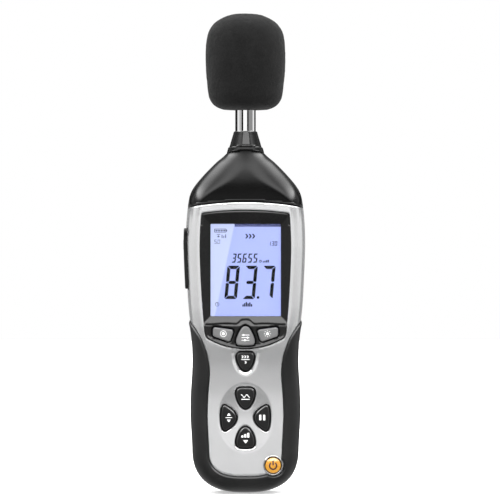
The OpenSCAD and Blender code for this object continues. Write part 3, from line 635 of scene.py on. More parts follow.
def slab(name, loop, y0, y1, mat, r=0.15, side=1, **kw):
    """A plate of an outline in x and z, from depth y0 to an eased edge at y1, towards the back or the front."""
    loop = ccw(np.array(loop, float))
    n, m = normals2(loop), len(loop)
    rows = [(0, y0), (0, y1 - r)] + [(r * (1 - math.cos(a)), y1 - r + r * math.sin(a)) for a in (0.4, 0.8, 1.2, 1.57)]
    verts = [(x, side * y, z) for off, y in rows for x, z in loop - n * off]
    faces = [tuple(range(m))] + bands(len(rows), m) + [tuple(range((len(rows) - 1) * m, len(rows) * m))[::-1]]
    return piece(name, np.array(verts), flipped(faces) if side < 0 else faces, mat, sharp=40, **kw)


# ------------------------------------------------------------ outlines

SHIELD = [(0, 7), (3.6, 6.8), (5.7, 5.4), (6.3, 2.6), (5.3, -1.6), (3, -5.4), (0, -7), (-3, -5.4), (-5.3, -1.6),
          (-6.3, 2.6), (-5.7, 5.4), (-3.6, 6.8)]
LENS_KEY = [(2.9, 8.3), (-0.6, 6.6), (-3.9, 3.6), (-5.3, 0), (-3.9, -3.8), (-0.6, -7), (2.6, -8.5), (4.6, -6.2),
            (5.4, 0), (4.8, 6)]
SETUP = [(0, 5.8), (2.4, 4.4), (4.6, 0.4), (5.7, -3.2), (5, -5.4), (2.6, -5.9), (0, -6), (-2.6, -5.9), (-5, -5.4),
         (-5.7, -3.2), (-4.6, 0.4), (-2.4, 4.4)]
WING = [(-6.6, 4.4), (6.3, 2.6), (3.8, -4.8), (-6.6, -1.2)]

KEYS = {
    "key_time_weighting": (closed_spline([(x * 0.94, z * 0.9) for x, z in SHIELD], 8), (0, 81.6)),
    "key_frequency_weighting": (closed_spline(SHIELD, 8), (0, 58.9)),
    "key_level_range": (closed_spline([(x, -z) for x, z in SHIELD], 8), (0, 34.7)),
    "key_max_min": (closed_spline([(-x, z) for x, z in LENS_KEY], 8), (-10.2, 46.8)),
    "key_hold": (closed_spline(LENS_KEY, 8), (10.2, 46.8)),
    "key_setup": (closed_spline(SETUP, 8), (0, 97.4)),
    "key_record": (rounded(WING, 1.5), (-13.4, 98.3)),
    "key_backlight": (rounded([(-x, z) for x, z in WING], 1.5), (13.4, 98.3)),
}
FACE_KEYS = ["key_time_weighting", "key_frequency_weighting", "key_level_range", "key_max_min", "key_hold"]
BEZEL_KEYS = ["key_setup", "key_record", "key_backlight"]
KEYS = {k: (spaced(ccw(o), 0.45), np.array(c)) for k, (o, c) in KEYS.items()}


def key_loop(k, grow=0.0):
    o, c = KEYS[k]
    return o + c + normals2(o) * grow


def panel_edge(gap=0.0, steps=90, knob=True):
    """The grey panel's edge from the right tip round the base to the left tip, and the silhouette beside it."""
    z = np.linspace(GRIP_TOP, BASE_H, steps)
    right = cols(panel_line(z), z)
    edge = cols(half_width(z), z)
    a = np.linspace(0, np.pi / 2, steps // 2 + 1)[1:]

    def foot(w, rise, p):
        return cols(w * np.cos(a) ** (2 / p), BASE_H - rise * np.sin(a) ** (2 / p))
    base, low = foot(PANEL_W, BASE_H - PANEL_BASE, PANEL_P), foot(BASE_W, BASE_H, BASE_P)
    inner, outer = np.vstack([right, base]), np.vstack([edge, low])
    inner = np.vstack([inner, (inner[:-1] * [-1, 1])[::-1]])
    outer = np.vstack([outer, (outer[:-1] * [-1, 1])[::-1]])
    t = np.gradient(inner, axis=0)
    t /= np.linalg.norm(t, axis=1)[:, None]
    n = cols(-t[:, 1], t[:, 0])
    inner = inner + n * gap
    if knob:
        d = inner - POWER
        dist, r = np.linalg.norm(d, axis=1), KNOB_R + gap
        near = dist < r
        inner[near] = POWER + d[near] / dist[near][:, None] * r
    return inner, outer


def seam(x):
    return 176.1 + 3.3 * (1 - np.clip(np.abs(x) / 36.0, 0, 1) ** 2)


def bezel_loop(grow=0.0):
    top = [(x, 174.6 - 1.9 * (x / 27.2) ** 2) for x in np.linspace(-26.4, 26.4, 25)]
    right = [(27.15, 172.2), (27.6, 166), (28.0, 155), (28.0, 148), (27.6, 134), (26.9, 120), (26.1, 108), (25.2, 99.5),
             (24.3, 96.6)]
    low = [(x, 89.4 + 7 * (x / 24.6) ** 2 * (0.9 + 0.1 * abs(x) / 24.6)) for x in np.linspace(22.6, -22.6, 25)]
    left = [(-x, z) for x, z in right[::-1]]
    loop = spaced(ccw(np.array(top + right + low + left)), 0.6)
    for _ in range(2):
        loop = (np.roll(loop, 1, 0) + 2 * loop + np.roll(loop, -1, 0)) / 4
    return loop + normals2(loop) * grow


# ------------------------------------------------------------ the front shell

DISH = np.array([0.0, 46.7])
DISH_R = np.array([16.9, 21.3])
DISH_DEPTH, SCOOP_DEPTH = 1.5, 0.9
SHIELD_LOOP = key_loop("key_time_weighting")


def dish_share(x, z):
    return np.sqrt(((x - DISH[0]) / DISH_R[0]) ** 2 + ((z - DISH[1]) / DISH_R[1]) ** 2)


def front_sink(x, z):
    """Depth of the keys' dish and of the scoop round its top key."""
    s = dish_share(x, z)
    out = DISH_DEPTH * (1 - soft_min(s, np.ones_like(s), 0.035) ** 2.2)
    near = (np.abs(x) < 12) & (z > 70) & (z < 92)
    scoop = np.zeros_like(out)
    if near.any():
        q = cols(x[near], z[near])
        d = gap_to(q, SHIELD_LOOP)
        d[inside(q, SHIELD_LOOP)] = 0
        lift = smooth01((z[near] - 84) / 5) * 1.4
        scoop[near] = SCOOP_DEPTH * (1 - smooth01((d - 0.5 - lift) / 1.7))
    return np.maximum(out, 0) + scoop


def front_surface(uz):
    return body_skin(-1, uz, front_sink)


def plain_front(uz):
    return body_skin(-1, uz)


def rear_surface(uz):
    return body_skin(1, uz)


def side_notch(side, depth_at, z):
    """Unrolled coordinate at which the skin's depth is depth_at, at height z."""
    d = half_depth(side, z)
    p = power_at_height(z)
    a = np.arccos(np.clip((depth_at / d) ** (p / 2), 0, 1)) / (np.pi / 2)
    return half_width(z) - roll_at(z) + a * arc_at(side, z)


def port_notch(side):
    """The left side port opening's share of one shell, from its foot up."""
    lo, hi = cad("port_cover")
    z0, z1 = lo[2] - 0.3, hi[2] + 0.3
    if side < 0:
        rows = [(z0, 9.8), (z1, 9.8)]
    else:
        rows = [(z0, 3.8), (z0 + 3.6, 3.8), (z0 + 3.7, 5.2), (z1 - 3.7, 5.2), (z1 - 3.6, 3.8), (z1, 3.8)]
    pts = [(-reach(side, np.array(z0)), z0)]
    for (za, da), (zb, db) in zip(rows, rows[1:]):
        for t in np.linspace(0, 1, 24 if abs(zb - za) > 3 else 2, endpoint=False):
            z = za + (zb - za) * t
            pts.append((-side_notch(side, da + (db - da) * t, np.array(z)), z))
    pts.append((-side_notch(side, rows[-1][1], np.array(z1)), z1))
    pts.append((-reach(side, np.array(z1)), z1))
    return [(float(u), float(z)) for u, z in pts]


def shell_outline(side, z_top, steps, top):
    """The panel's edge, the parting plane up the left side with the port's notch, the top and down the right side."""
    inner, _ = panel_edge(knob=side < 0)
    lower = unrolled(side, inner)
    lower[0, 0], lower[-1, 0] = reach(side, GRIP_TOP), -reach(side, GRIP_TOP)
    zs = np.linspace(GRIP_TOP, z_top, steps)
    notch, spare = port_notch(side), 0.5
    left = [(-float(reach(side, z)), float(z)) for z in zs[1:]]
    left = [p for p in left if p[1] <= notch[0][1] - spare] + notch + [p for p in left if p[1] >= notch[-1][1] + spare]
    right = [(float(reach(side, z)), float(z)) for z in zs[::-1][:-1]]
    return ccw(np.vstack([lower[:-1] if side < 0 else lower, left, top, right]))


def seam_at(s):
    """Height of the seam at a share of the way round the front."""
    return float(seam(float(body_skin(-1, np.array([[s * float(reach(-1, SEAM_Z)), SEAM_Z]]))[0, 0])))


def neck_at(side, s, rise):
    """The casing's top edge at a share of the way round one side."""
    z = NECK_Z + rise * (1 - s * s) ** 0.8
    return s * float(reach(side, z)), z


a = around(150)
rings = np.vstack([DISH + DISH_R * s * cols(np.cos(a), np.sin(a))
                   for s in (0.94, 0.965, 0.985, 1.0, 1.015, 1.035, 1.06)])
front_top = [(s * float(reach(-1, SEAM_Z)), seam_at(s) - SEAM_GAP) for s in np.linspace(-1, 1, 80)[1:-1]]
skin("front_shell", shell_outline(-1, 176.0, 70, front_top),
     [bezel_loop(0.12)] + [key_loop(k, 0.3) for k in FACE_KEYS] + [circle(POWER, POWER_R + 0.5)],
     front_surface, -1, SILVER, step=1.0, radius=0.5, hole_radius=[0.55] + [0.35] * 5 + [0.3], extra=rings,
     stands_for="front_casing", slot="grey_shell")


# ------------------------------------------------------------ the nose

def nose_outline():
    low = []
    for s in np.linspace(-1, 1, 90):
        z = seam_at(s) + SEAM_GAP
        low.append((s * float(reach(-1, z)), z))
    high = [neck_at(-1, s, 3.1) for s in np.linspace(-1, 1, 90)]
    right = [(float(reach(-1, z)), float(z)) for z in np.linspace(low[-1][1], high[-1][1], 40)[1:-1]]
    return np.array(low + right + high[::-1] + [(-u, z) for u, z in right[::-1]])


skin("nose_shell", nose_outline(), [], plain_front, -1, BLACK, step=1.1, radius=0.7, stands_for="nose_cover",
     slot="black_shell")

collar = rounded([(6.45, 205), (10.6, 205), (11.0, 209.2), (11.65, 210.0), (10.75, 213.35), (10.15, 213.7),
                  (9.95, 214.0), (7.7, 221.6), (7.25, 223.3), (6.45, 223.7)],
                 [0, 0, 0.4, 0.5, 0.2, 0.2, 0.2, 2.0, 0.5, 0.15], 6)
extra_rows = np.linspace(214.2, 221, 24)
collar = np.vstack([collar[collar[:, 1] < 214.1], [(9.95 - (z - 214) * 0.296, z) for z in extra_rows],
                    collar[collar[:, 1] > 221.05]])
cone = lathe("neck_cone", collar, BLACK, 256, stands_for="neck_collar", slot="black_shell", sharp=50)
RIB_TURN, RIB_HALF, RIB_Z = 2.5, 13.5, (214.6, 222.4)


def rib_turn(x, y):
    """Degrees between a place on the collar and the middle of its rib."""
    return abs(math.degrees(math.atan2(x, -y)) - RIB_TURN)


# the rib's faces take the lighter black, a painted highlight
cone.data.materials.append(RIB_PAINTED_HIGHLIGHT)
for f in cone.data.polygons:
    x, y, z = from_frame(f.center)
    if rib_turn(x, y) < RIB_HALF and RIB_Z[0] < z < RIB_Z[1] and math.hypot(x, y) > 6.8:
        f.material_index = 1
for v in cone.data.vertices:
    x, y, z = from_frame(v.co)
    if math.hypot(x, y) < 6.6 or y > 0 or z < 205.5:
        continue
    turn = rib_turn(x, y)
    flat = (1 - smooth01(np.array((turn - 15) / 2.0))) * smooth01(np.array((z - RIB_Z[0]) / 0.5))
    ledge = (1 - smooth01(np.array((turn - 34) / 2.5))) * smooth01(np.array(1 - abs(z - 214.2) / 0.6))
    y = y - 0.45 * float(flat) * (1 - 0.6 * (turn / 15) ** 2) - 0.35 * float(ledge)
    v.co = to_frame((x, y, z))


# ------------------------------------------------------------ the rear shell

door_lo, door_hi = cad("battery_door")
DOOR = (door_lo[0], door_hi[0], 18.0, door_hi[2])
DOOR_GAP = 0.3
SCREWS = [(-30.3, 169), (30.3, 169), (-11, 14.4), (11, 14.4)]
TRIPOD = [float(v) for v in sum(cad("tripod_insert"))[[0, 2]] / 2]


rear_top = [neck_at(1, s, 1.2) for s in np.linspace(-1, 1, 60)[1:-1]]
skin("rear_shell", shell_outline(1, NECK_Z, 90, rear_top),
     [box_loop(DOOR[0] - DOOR_GAP, DOOR[1] + DOOR_GAP, DOOR[2] - DOOR_GAP, DOOR[3] + DOOR_GAP, 4.2)]
     + [unrolled(1, circle(s, 2.7, 48)) for s in SCREWS] + [circle(TRIPOD, 5.05)],
     rear_surface, 1, BACK, step=1.3, radius=0.45, hole_radius=[0.4] + [0.4] * 4 + [0.25],
     stands_for="rear_casing", slot="black_shell")


def well(name, centre, r, floor_y, n=64):
    """A screw's counterbore: a cup from just under the rear skin, whose rim follows it, to floor_y."""
    outer, inner, shank = circle(centre, r + 0.8, n), circle(centre, r, n), circle(centre, 1.4, n)

    def depth(loop):
        return rear_surface(unrolled(1, loop))[:, 1]
    flat = np.full(n, floor_y)
    rows = [(shank, flat - 0.8), (outer, flat - 0.8), (outer, depth(outer) - 1.3), (inner, depth(inner) - 0.7),
            (inner, flat), (shank, flat)]
    verts = np.vstack([cols(loop[:, 0], y, loop[:, 1]) for loop, y in rows])
    piece(name, verts, sweep(rings_of(len(rows), n)), BACK, slot="black_shell",
          sharp=50)


for i, place in enumerate(SCREWS):
    well("screw_well_%d" % i, place, 2.68, 14.45)


# ------------------------------------------------------------ the grip

def grip(name, side, knob, node):
    """A rubber grip over the skin between the panel's edge and the parting plane, with a raised lip."""
    inner, outer = panel_edge(gap=0.22, steps=150, knob=knob)
    rows, steps, back_depth = len(inner), 90, 1.6
    # a dense curve over the skin from the panel's edge to the parting plane, for each row
    curve = np.empty((rows, steps, 3))
    for j, t in enumerate(np.cos((1 - np.linspace(0, 1, steps)) * np.pi / 2) ** (2 / 2.2)):
        last = j == steps - 1
        p = inner + (outer - inner) * t
        u = unroll(side, p[:, 0], p[:, 1])
        if last:
            u = np.sign(u) * reach(side, p[:, 1])
        q = body_skin(side, cols(u, p[:, 1]))
        q[:, 0] = p[:, 0]
        if last:
            q[:, 1] = 0
        curve[:, j] = q
    seg = np.linalg.norm(np.diff(curve, axis=1), axis=2)
    arc = np.concatenate([np.zeros((rows, 1)), np.cumsum(seg, axis=1)], 1)
    total = arc[:, -1]
    size = np.clip(total / 9.0, 0.08, 1)
    lip, proud = 1.5 * size, 0.95 * size
    # distance along the curve and height over it, from the buried edge over the lip to the parting plane
    dist, lift = [np.zeros(rows), np.zeros(rows)], [np.full(rows, -back_depth), proud - lip]
    for k in np.linspace(0, np.pi / 2, 8)[1:]:
        dist.append(lip * (1 - np.cos(k)))
        lift.append(proud - lip + lip * np.sin(k))
    for k in np.linspace(0, 1, 26)[1:]:
        dist.append(lip + (total - lip) * k)
        lift.append(proud * (1 - smooth01(np.full(rows, (k - 0.35) / 0.6))))
    dist[-1], lift[-1] = total - 0.3, np.zeros(rows)
    for level in (-0.35, -back_depth):
        dist.append(total)
        lift.append(np.full(rows, level))
    dist, lift = np.array(dist).T, np.array(lift).T

    def along(table):
        return np.stack([[np.interp(d, a, t[:, c]) for d, a, t in zip(dist, arc, table)] for c in range(3)], 2)
    pos, tan = along(curve), along(np.gradient(curve, axis=1))
    n = np.cross(np.gradient(pos, axis=0), tan)
    n /= np.maximum(np.linalg.norm(n, axis=2), 1e-9)[..., None]
    n *= np.sign(n[:, 10, 1] * side)[:, None, None]
    pos = pos + n * lift[..., None]
    pick = list(range(pos.shape[1] - 2, 1, -3))
    back = pos[:, pick] - n[:, pick] * (back_depth + lift[:, pick])[..., None]
    ring = np.concatenate([pos, back], 1)
    m = ring.shape[1]
    faces = bands(rows, m) + [tuple(range(m)), tuple(range((rows - 1) * m, rows * m))[::-1]]
    piece(name, ring.reshape(-1, 3), flipped(faces) if side > 0 else faces, RUBBER, stands_for=node,
          slot="grip_rubber", sharp=60)


grip("grip_front", -1, True, "front_grip")
grip("grip_rear", 1, False, "rear_grip")


# ------------------------------------------------------------ the display

LENS_Y = -cad("display_lens")[0][1]
WIN = (-21.4, 21.7, 109.4, 166.0)
RIM, FAR = 19.3, 9.0


def key_field(x, z):
    """1 below the line over the three keys, 0 above it."""
    wave = 0.5 * np.cos(np.clip((np.abs(x) - 12) / 8, -1, 1) * np.pi / 2)
    line = 104.0 + wave + 2.9 * np.exp(-(np.abs(x) / 4.3) ** 4)
    return 1 - smooth01((z - line) / 0.9)


BEZEL_LOOP = bezel_loop(-0.02)
BEZEL_KEY_LOOPS = [key_loop(k) for k in BEZEL_KEYS]


def key_gap(q):
    """Distance to the nearest of the bezel keys' outlines."""
    return np.min([np.full(len(q), FAR)] + [gap_to(q, loop) for loop in BEZEL_KEY_LOOPS], axis=0)


def bezel_height(x, z):
    x, z = np.asarray(x, float), np.asarray(z, float)
    low = np.full_like(x, LENS_Y + 0.35)
    h = soft_max(low + 0.44 * (z - WIN[3]), low + 0.55 * (WIN[0] - x), 0.25)
    h = soft_max(h, low + 0.55 * (x - WIN[1]), 0.25)
    h = soft_max(h, low + 0.56 * (WIN[2] - z), 0.25)
    h = soft_min(h, np.full_like(x, RIM), 0.3)
    f = key_field(x, z)
    q = cols(x, z)
    edge = np.full(len(x), FAR)
    lowz, top = z < 108, z > 165
    for part in (lowz, top):
        if part.any():
            edge[part] = gap_to(q[part], BEZEL_LOOP)
    h = h - np.where(top, 0.75 * np.clip(1.5 - edge, 0, 1.5), 0)
    f = f * smooth01((edge - 0.7) / 0.8)
    h = h - f * 1.0
    near = lowz & (f > 0.01)
    if near.any():
        h[near] -= 1.3 * f[near] * (1 - smooth01((key_gap(q[near]) - 0.7) / 0.35))
    return h


def in_painted_key_shade(p):
    """Whether a place lies in the trench round a key, which is painted darker: painted shade."""
    q = p[:, [0, 2]]
    return (key_gap(q) < 0.85) & (q[:, 1] < 106.5)


def on_painted_lit_sill(p):
    """Whether a place lies on the slope below the display, above the keys' field, which is painted lighter: painted
    light for the upward-facing slope.
    """
    x, z = p[:, 0], p[:, 2]
    slope = (WIN[2] - z) > np.maximum(WIN[0] - x, x - WIN[1]) * 0.98
    return slope & (key_field(x, z) < 0.4) & (z < WIN[2] - 0.1) & (np.abs(x) < 25.2)


def bezel_surface(uz):
    return cols(uz[:, 0], -bezel_height(uz[:, 0], uz[:, 1]), uz[:, 1])


# the slope below the display takes painted light, and the trench round the keys painted shade
skin("display_frame", BEZEL_LOOP, [box_loop(*WIN, 0.5)] + [key_loop(k, 0.3) for k in BEZEL_KEYS], bezel_surface, -1,
     BEZEL, step=0.62, wall=1.6, radius=0.55, hole_radius=[0.15] + [0.2] * 3, stands_for="display_bezel",
     slot="bezel_black", second=[(SILL_PAINTED_LIGHT, on_painted_lit_sill), (SURROUND_PAINTED_SHADE, in_painted_key_shade)])

glass_lo, glass_hi = cad("lcd_glass")
LCD_Y = -glass_lo[1]
slab("lcd_panel", box_loop(glass_lo[0], glass_hi[0], glass_lo[2], glass_hi[2], 0.6), -glass_hi[1], LCD_Y, LIT, r=0.2,
     side=-1, stands_for="lcd_glass", slot="lcd")

SEGMENTS = {"0": "abcdef", "1": "bc", "2": "abged", "3": "abgcd", "4": "fgbc", "5": "afgcd", "6": "afgedc",
            "7": "abc", "8": "abcdefg", "9": "abcdfg"}


def digit(ch, x, z, w, h, t, lean, gap=0.18):
    """Outlines of a seven-segment digit with its lower left corner at x and z."""
    g, m = gap, h / 2
    shapes = {
        "a": [(g, h), (w - g, h), (w - t - g, h - t), (t + g, h - t)],
        "d": [(g, 0), (t + g, t), (w - t - g, t), (w - g, 0)],
        "f": [(0, h - g), (t, h - t - g), (t, m + t * 0.35 + g), (t * 0.45, m + g * 0.8), (0, m + t * 0.3)],
        "b": [(w, h - g), (w, m + t * 0.3), (w - t * 0.45, m + g * 0.8), (w - t, m + t * 0.35 + g), (w - t, h - t - g)],
        "e": [(0, g), (0, m - t * 0.3), (t * 0.45, m - g * 0.8), (t, m - t * 0.35 - g), (t, t + g)],
        "c": [(w, g), (w - t, t + g), (w - t, m - t * 0.35 - g), (w - t * 0.45, m - g * 0.8), (w, m - t * 0.3)],
        "g": [(t * 0.6 + g, m), (t + g, m + t * 0.48), (w - t - g, m + t * 0.48), (w - t * 0.6 - g, m),
              (w - t - g, m - t * 0.48), (t + g, m - t * 0.48)],
    }
    return [rounded([(x + px + pz * lean, z + pz) for px, pz in shapes[s]], min(0.25, t * 0.18), 3)
            for s in SEGMENTS[ch]]


def number(text, x, z, w, h, t, lean, pitch, gap=0.1):
    out = []
    for i, ch in enumerate(text):
        out += digit(ch, x + i * pitch, z, w, h, t, lean, gap)
    return out


def bar(x0, z0, x1, z1, t):
    d = np.array([x1 - x0, z1 - z0], float)
    n = np.array([-d[1], d[0]]) / np.linalg.norm(d) * t / 2
    a, b = np.array([x0, z0], float), np.array([x1, z1], float)
    return np.array([a - n, b - n, b + n, a + n])


def ring2(c, r, t, n=40):
    return [circle(c, r, n), circle(c, r - t, n)]


def tri2(x, z, s, up=1):
    return np.array([(x - s, z - s * 0.55 * up), (x + s, z - s * 0.55 * up), (x, z + s * 0.75 * up)])


def flat(y):
    """A height function that is the same everywhere."""
    return lambda x, z: np.full(len(x), y)


on_lcd = flat(LCD_Y + 0.02)
ink = []
for ch, right in zip("837", (-3.35, 7.65, 18.65)):
    ink += digit(ch, right - 7.75 - 1.95, 119.8, 7.75, 20.5, 2.05, 0.095, 0.22)
ink.append(box_loop(7.0, 8.5, 120.0, 121.5, 0.3))
ink += number("35655", -8.75, 142.2, 2.5, 5.6, 0.76, 0.17, 3.3, 0.02)
ink += [ring2((9.2, 143.1), 0.85, 0.3), bar(9.2, 143.1, 9.2, 143.7, 0.25), bar(9.2, 143.1, 9.7, 143.1, 0.25)]
ink += [bar(11 + k, 142.3, 11 + k, 143.1 + 0.3 * k, 0.7) for k in range(4)]
ink += [np.array([(x, 157.1), (x + 0.95, 157.1), (x + 2.0, 158.5), (x + 0.95, 159.9), (x, 159.9), (x + 1.05, 158.5)])
        for x in (-0.2, 1.9, 4.0)]
ink += [bar(-1.5 + 1.05 * k, 115.2, -1.5 + 1.05 * k, 115.9 + h, 0.8)
        for k, h in enumerate((0.6, 1.4, 2.1, 1.2, 1.8, 0.8))]
ink += number("130", 14.0, 152.6, 1.5, 2.8, 0.42, 0.1, 1.95, 0.02)
prisms("lcd_digits", ink, on_lcd, 0.02, INK, step=1.2, slot="bezel_black")
pale = [[box_loop(-19.2, -11.8, 160.8, 163.1, 0.3), box_loop(-18.8, -12.2, 161.15, 162.75, 0.2)],
        box_loop(-11.75, -11.3, 161.4, 162.5)]
pale += [box_loop(-18.4 + 1.6 * k, -17.3 + 1.6 * k, 161.5, 162.4) for k in range(4)]
pale += [tri2(-16.6, 158.4, 0.9), bar(-17.7, 159.6, -15.5, 159.6, 0.35), bar(-14.4, 157.4, -14.4, 159.4, 0.5),
         bar(-13.3, 157.4, -13.3, 158.8, 0.5), bar(-12.2, 157.4, -12.2, 159.6, 0.5)]
pale += number("50", -19.3, 153.8, 1.5, 2.6, 0.3, 0.1, 2.0, 0.03)
pale += [ring2((-17.4, 116.6), 1.3, 0.3), bar(-17.4, 116.6, -17.4, 117.5, 0.25),
         bar(-17.4, 116.6, -16.8, 116.3, 0.25)]
prisms("lcd_small_marks", pale, on_lcd, 0.02, INK_PALE, step=1.2, slot="bezel_black")
prisms("lcd_top_shade", [box_loop(-6.7, 21.9, 164.3, 166.6)], on_lcd, 0.03, SHADE, step=2, slot="bezel_black")


# ------------------------------------------------------------ keys

class Key:
    """A moulded key: straight sides, a rolled edge, a border and a crowned top."""

    def __init__(self, node, level, mat, slot, border=0.75, step=0.45, crown=0.22, seat=None):
        self.node, self.loop, self.level, self.crown = node, key_loop(node), level, crown
        self.mid = self.loop.mean(0)
        d = self.loop - self.mid
        self.ang, self.rad = np.arctan2(d[:, 1], d[:, 0]), np.linalg.norm(d, axis=1)
        n, m = normals2(self.loop), len(self.loop)
        low, r = level - step, 0.3
        rows = [(0.0, seat), (0.0, low - r)]
        rows += [(r * (1 - math.cos(a)), low - r + r * math.sin(a)) for a in np.linspace(0.3, 1.57, 5)]
        rows += [(border - 0.02, low + 0.02), (border + 0.04, low + 0.05), (border + 0.42, level - 0.1),
                 (border + 0.52, level - 0.02)]
        verts = [(x, -y, z) for off, y in rows for x, z in self.loop - n * off]
        rim, shares = self.loop - n * (border + 0.62), np.linspace(1.0, 0.08, 14)
        for s in shares:
            q = self.mid + (rim - self.mid) * s
            verts += [(x, -y, z) for (x, z), y in zip(q, self.height(q[:, 0], q[:, 1]))]
        verts.append((self.mid[0], -(level + crown), self.mid[1]))
        count = len(rows) + len(shares)
        last = (count - 1) * m
        faces = [tuple(range(m))] + bands(count, m)
        faces += [(last + i, len(verts) - 1, last + (i + 1) % m) for i in range(m)]
        ob = piece(node + "_cap", np.array(verts), flipped(faces), mat, body=node, stands_for=node, slot=slot)
        if border > 0.3:
            # painted shade on the sides and border, and a painted highlight on the step up to the top
            for k, (look, first, end) in enumerate(((SURROUND_PAINTED_SHADE, 0, 8), (KEY_EDGE_PAINTED_HIGHLIGHT, 8, 10)), 1):
                ob.data.materials.append(look)
                for f in ob.data.polygons[1 + first * m:1 + end * m]:
                    f.material_index = k

    def height(self, x, z):
        """Height of the crowned top, which falls off with the share of the way to the outline."""
        d = cols(x, z) - self.mid
        order = np.argsort(self.ang)
        r = np.interp(np.arctan2(d[:, 1], d[:, 0]), self.ang[order], self.rad[order], period=2 * np.pi)
        s = np.clip(np.linalg.norm(d, axis=1) / r, 0, 1)
        return self.level + self.crown * (1 - s * s)

    def marks(self, polys):
        prisms(self.node + "_mark", polys, self.height, 0.03, PRINT, step=0.7, body=self.node, slot="grey_key")


def local_level(c):
    return float(front_line(c[1]) - front_sink(np.array([c[0]]), np.array([c[1]]))[0])


caps = {}
for k in FACE_KEYS:
    c = KEYS[k][1]
    caps[k] = Key(k, local_level(c) + (1.0 if k != "key_time_weighting" else 1.15), KEY_DARK, "dark_key", seat=13.6)
for k in BEZEL_KEYS:
    caps[k] = Key(k, 18.8, KEY_GREY, "grey_key", border=0.12, step=0.35, crown=0.15, seat=13.8)


def shift(polys, dx, dz):
    return [[q + [dx, dz] for q in p] if isinstance(p, list) else p + [dx, dz] for p in polys]


chevron = np.array([(-0.5, -1), (0.1, -1), (1.1, 0), (0.1, 1), (-0.5, 1), (0.5, 0)]) * 0.8
caps["key_time_weighting"].marks(
    shift([chevron + [d, 0] for d in (-1.9, -0.3, 1.3)], -0.1, 84.4) + shift([chevron], -0.1, 81.0)
    + [bar(-2.6, 82.75, 2.6, 82.75, 0.3)])
wave = np.array([(t, 0.8 * math.sin(t * 1.9)) for t in np.linspace(-2.6, 2.6, 30)])
caps["key_frequency_weighting"].marks([np.vstack([wave + [0, 60.2 + 0.22], (wave + [0, 60.2 - 0.22])[::-1]]),
                                       bar(-2.6, 58.2, 2.6, 58.2, 0.35)])
caps["key_max_min"].marks([tri2(-10.2, 48.8, 1.15), tri2(-10.2, 45.0, 1.15, -1), bar(-12.2, 46.9, -8.2, 46.9, 0.32)])
caps["key_hold"].marks([box_loop(8.5, 9.7, 45.3, 48.6, 0.2), box_loop(10.9, 12.1, 45.3, 48.6, 0.2)])
caps["key_level_range"].marks([box_loop(-2.5 + 1.8 * k, -1.3 + 1.8 * k, 34.7, 35.9 + 0.8 * k, 0.15) for k in range(3)]
                              + [tri2(0.1, 32.2, 1.5, -1)])
caps["key_record"].marks([circle((-13.6, 98.6), 0.85, 30), ring2((-13.6, 98.6), 1.95, 0.24)])
sliders = ((-1.2, 97.8), (1.3, 96.2), (-0.3, 94.6))
caps["key_setup"].marks([bar(-2.4, z, 2.4, z, 0.28) for x, z in sliders]
                        + [box_loop(x - 0.36, x + 0.36, z - 0.52, z + 0.52, 0.15) for x, z in sliders])
lamp = (13.5, 98.6)
rays = [(math.cos(a), math.sin(a)) for a in around(8)]
caps["key_backlight"].marks([circle(lamp, 0.78, 30)]
                            + [bar(lamp[0] + 1.5 * c, lamp[1] + 1.5 * s, lamp[0] + 2.1 * c, lamp[1] + 2.1 * s, 0.26)
                               for c, s in rays])

face_y = float(front_line(POWER[1]))
CROWN, CROWN_R = 1.0, 4.2
CAP_R, CAP_Y = POWER_R - 0.15, face_y + 1.1
ring = [(0.32, -2.4), (0.48, -2.4), (0.48, 0.05), (1.25, 0.1), (1.25, 0.5), (0.95, 0.95), (0.6, 0.9), (0.32, 0.3)]
lathe("power_ring", rounded([(POWER_R + r, face_y + y) for r, y in ring], [0, 0, 0, 0.1, 0.1, 0.2, 0.15, 0.1], 5)
      * [1, -1], RING, 96, centre=POWER, axis="y", stands_for="power_key_ring", slot="ring_metal", sharp=50)


def on_power(x, z):
    r = np.hypot(np.asarray(x) - POWER[0], np.asarray(z) - POWER[1])
    return CAP_Y + CROWN * (1 - (r / CROWN_R) ** 2)


cap = [(0, face_y - 3.3), (CAP_R, face_y - 3.3), (CAP_R, face_y + 0.5)]
cap += [(CAP_R - 0.7 * (1 - math.cos(a)), face_y + 0.5 + 0.6 * math.sin(a)) for a in np.linspace(0.2, 1.5, 7)]
cap += [(r, CAP_Y + CROWN * (1 - (r / CROWN_R) ** 2)) for r in (3.9, 3.2, 2.4, 1.6, 0.8, 0)]
lathe("power_cap", np.array(cap) * [1, -1], ORANGE, 96, centre=POWER, axis="y", closed=False, body="key_power",
      stands_for="key_power", slot="power_key")
a = np.radians(np.linspace(125, 415, 40))
turn = cols(np.cos(a), np.sin(a))
arc = np.vstack([POWER + [0, -0.2] + 2.6 * turn, (POWER + [0, -0.2] + 1.7 * turn)[::-1]])
stroke = box_loop(POWER[0] - 0.45, POWER[0] + 0.45, POWER[1] + 0.1, POWER[1] + 2.9, 0.2)
prisms("power_key_mark", [arc, stroke], on_power, 0.03, SYMBOL, step=0.6, body="key_power", slot="power_key")


# ------------------------------------------------------------ microphone and windscreen

tube_lo, tube_hi = cad("mic_tube")
MIC_R = tube_hi[0]
lathe("mic_shaft", rounded([(5.5, tube_lo[2]), (MIC_R, tube_lo[2]), (MIC_R, tube_hi[2]), (5.5, tube_hi[2])],
                           [0, 0.2, 0.3, 0], 5), CHROME, 128, stands_for="mic_tube", slot="tube_metal", sharp=40)

foam_line = spline([(237.2, 14.2), (238.2, 17.0), (240, 19.7), (243.7, 22.2), (247.4, 23.1), (254.8, 23.9),
                    (262.2, 24.6), (269, 24.75), (277, 24.5), (280.7, 24.1), (284.4, 23.2), (288.1, 21.4),
                    (291.8, 17.9), (294.6, 12.8), (295.8, 9.2), (296.3, 5.5), (296.5, 2.0)])


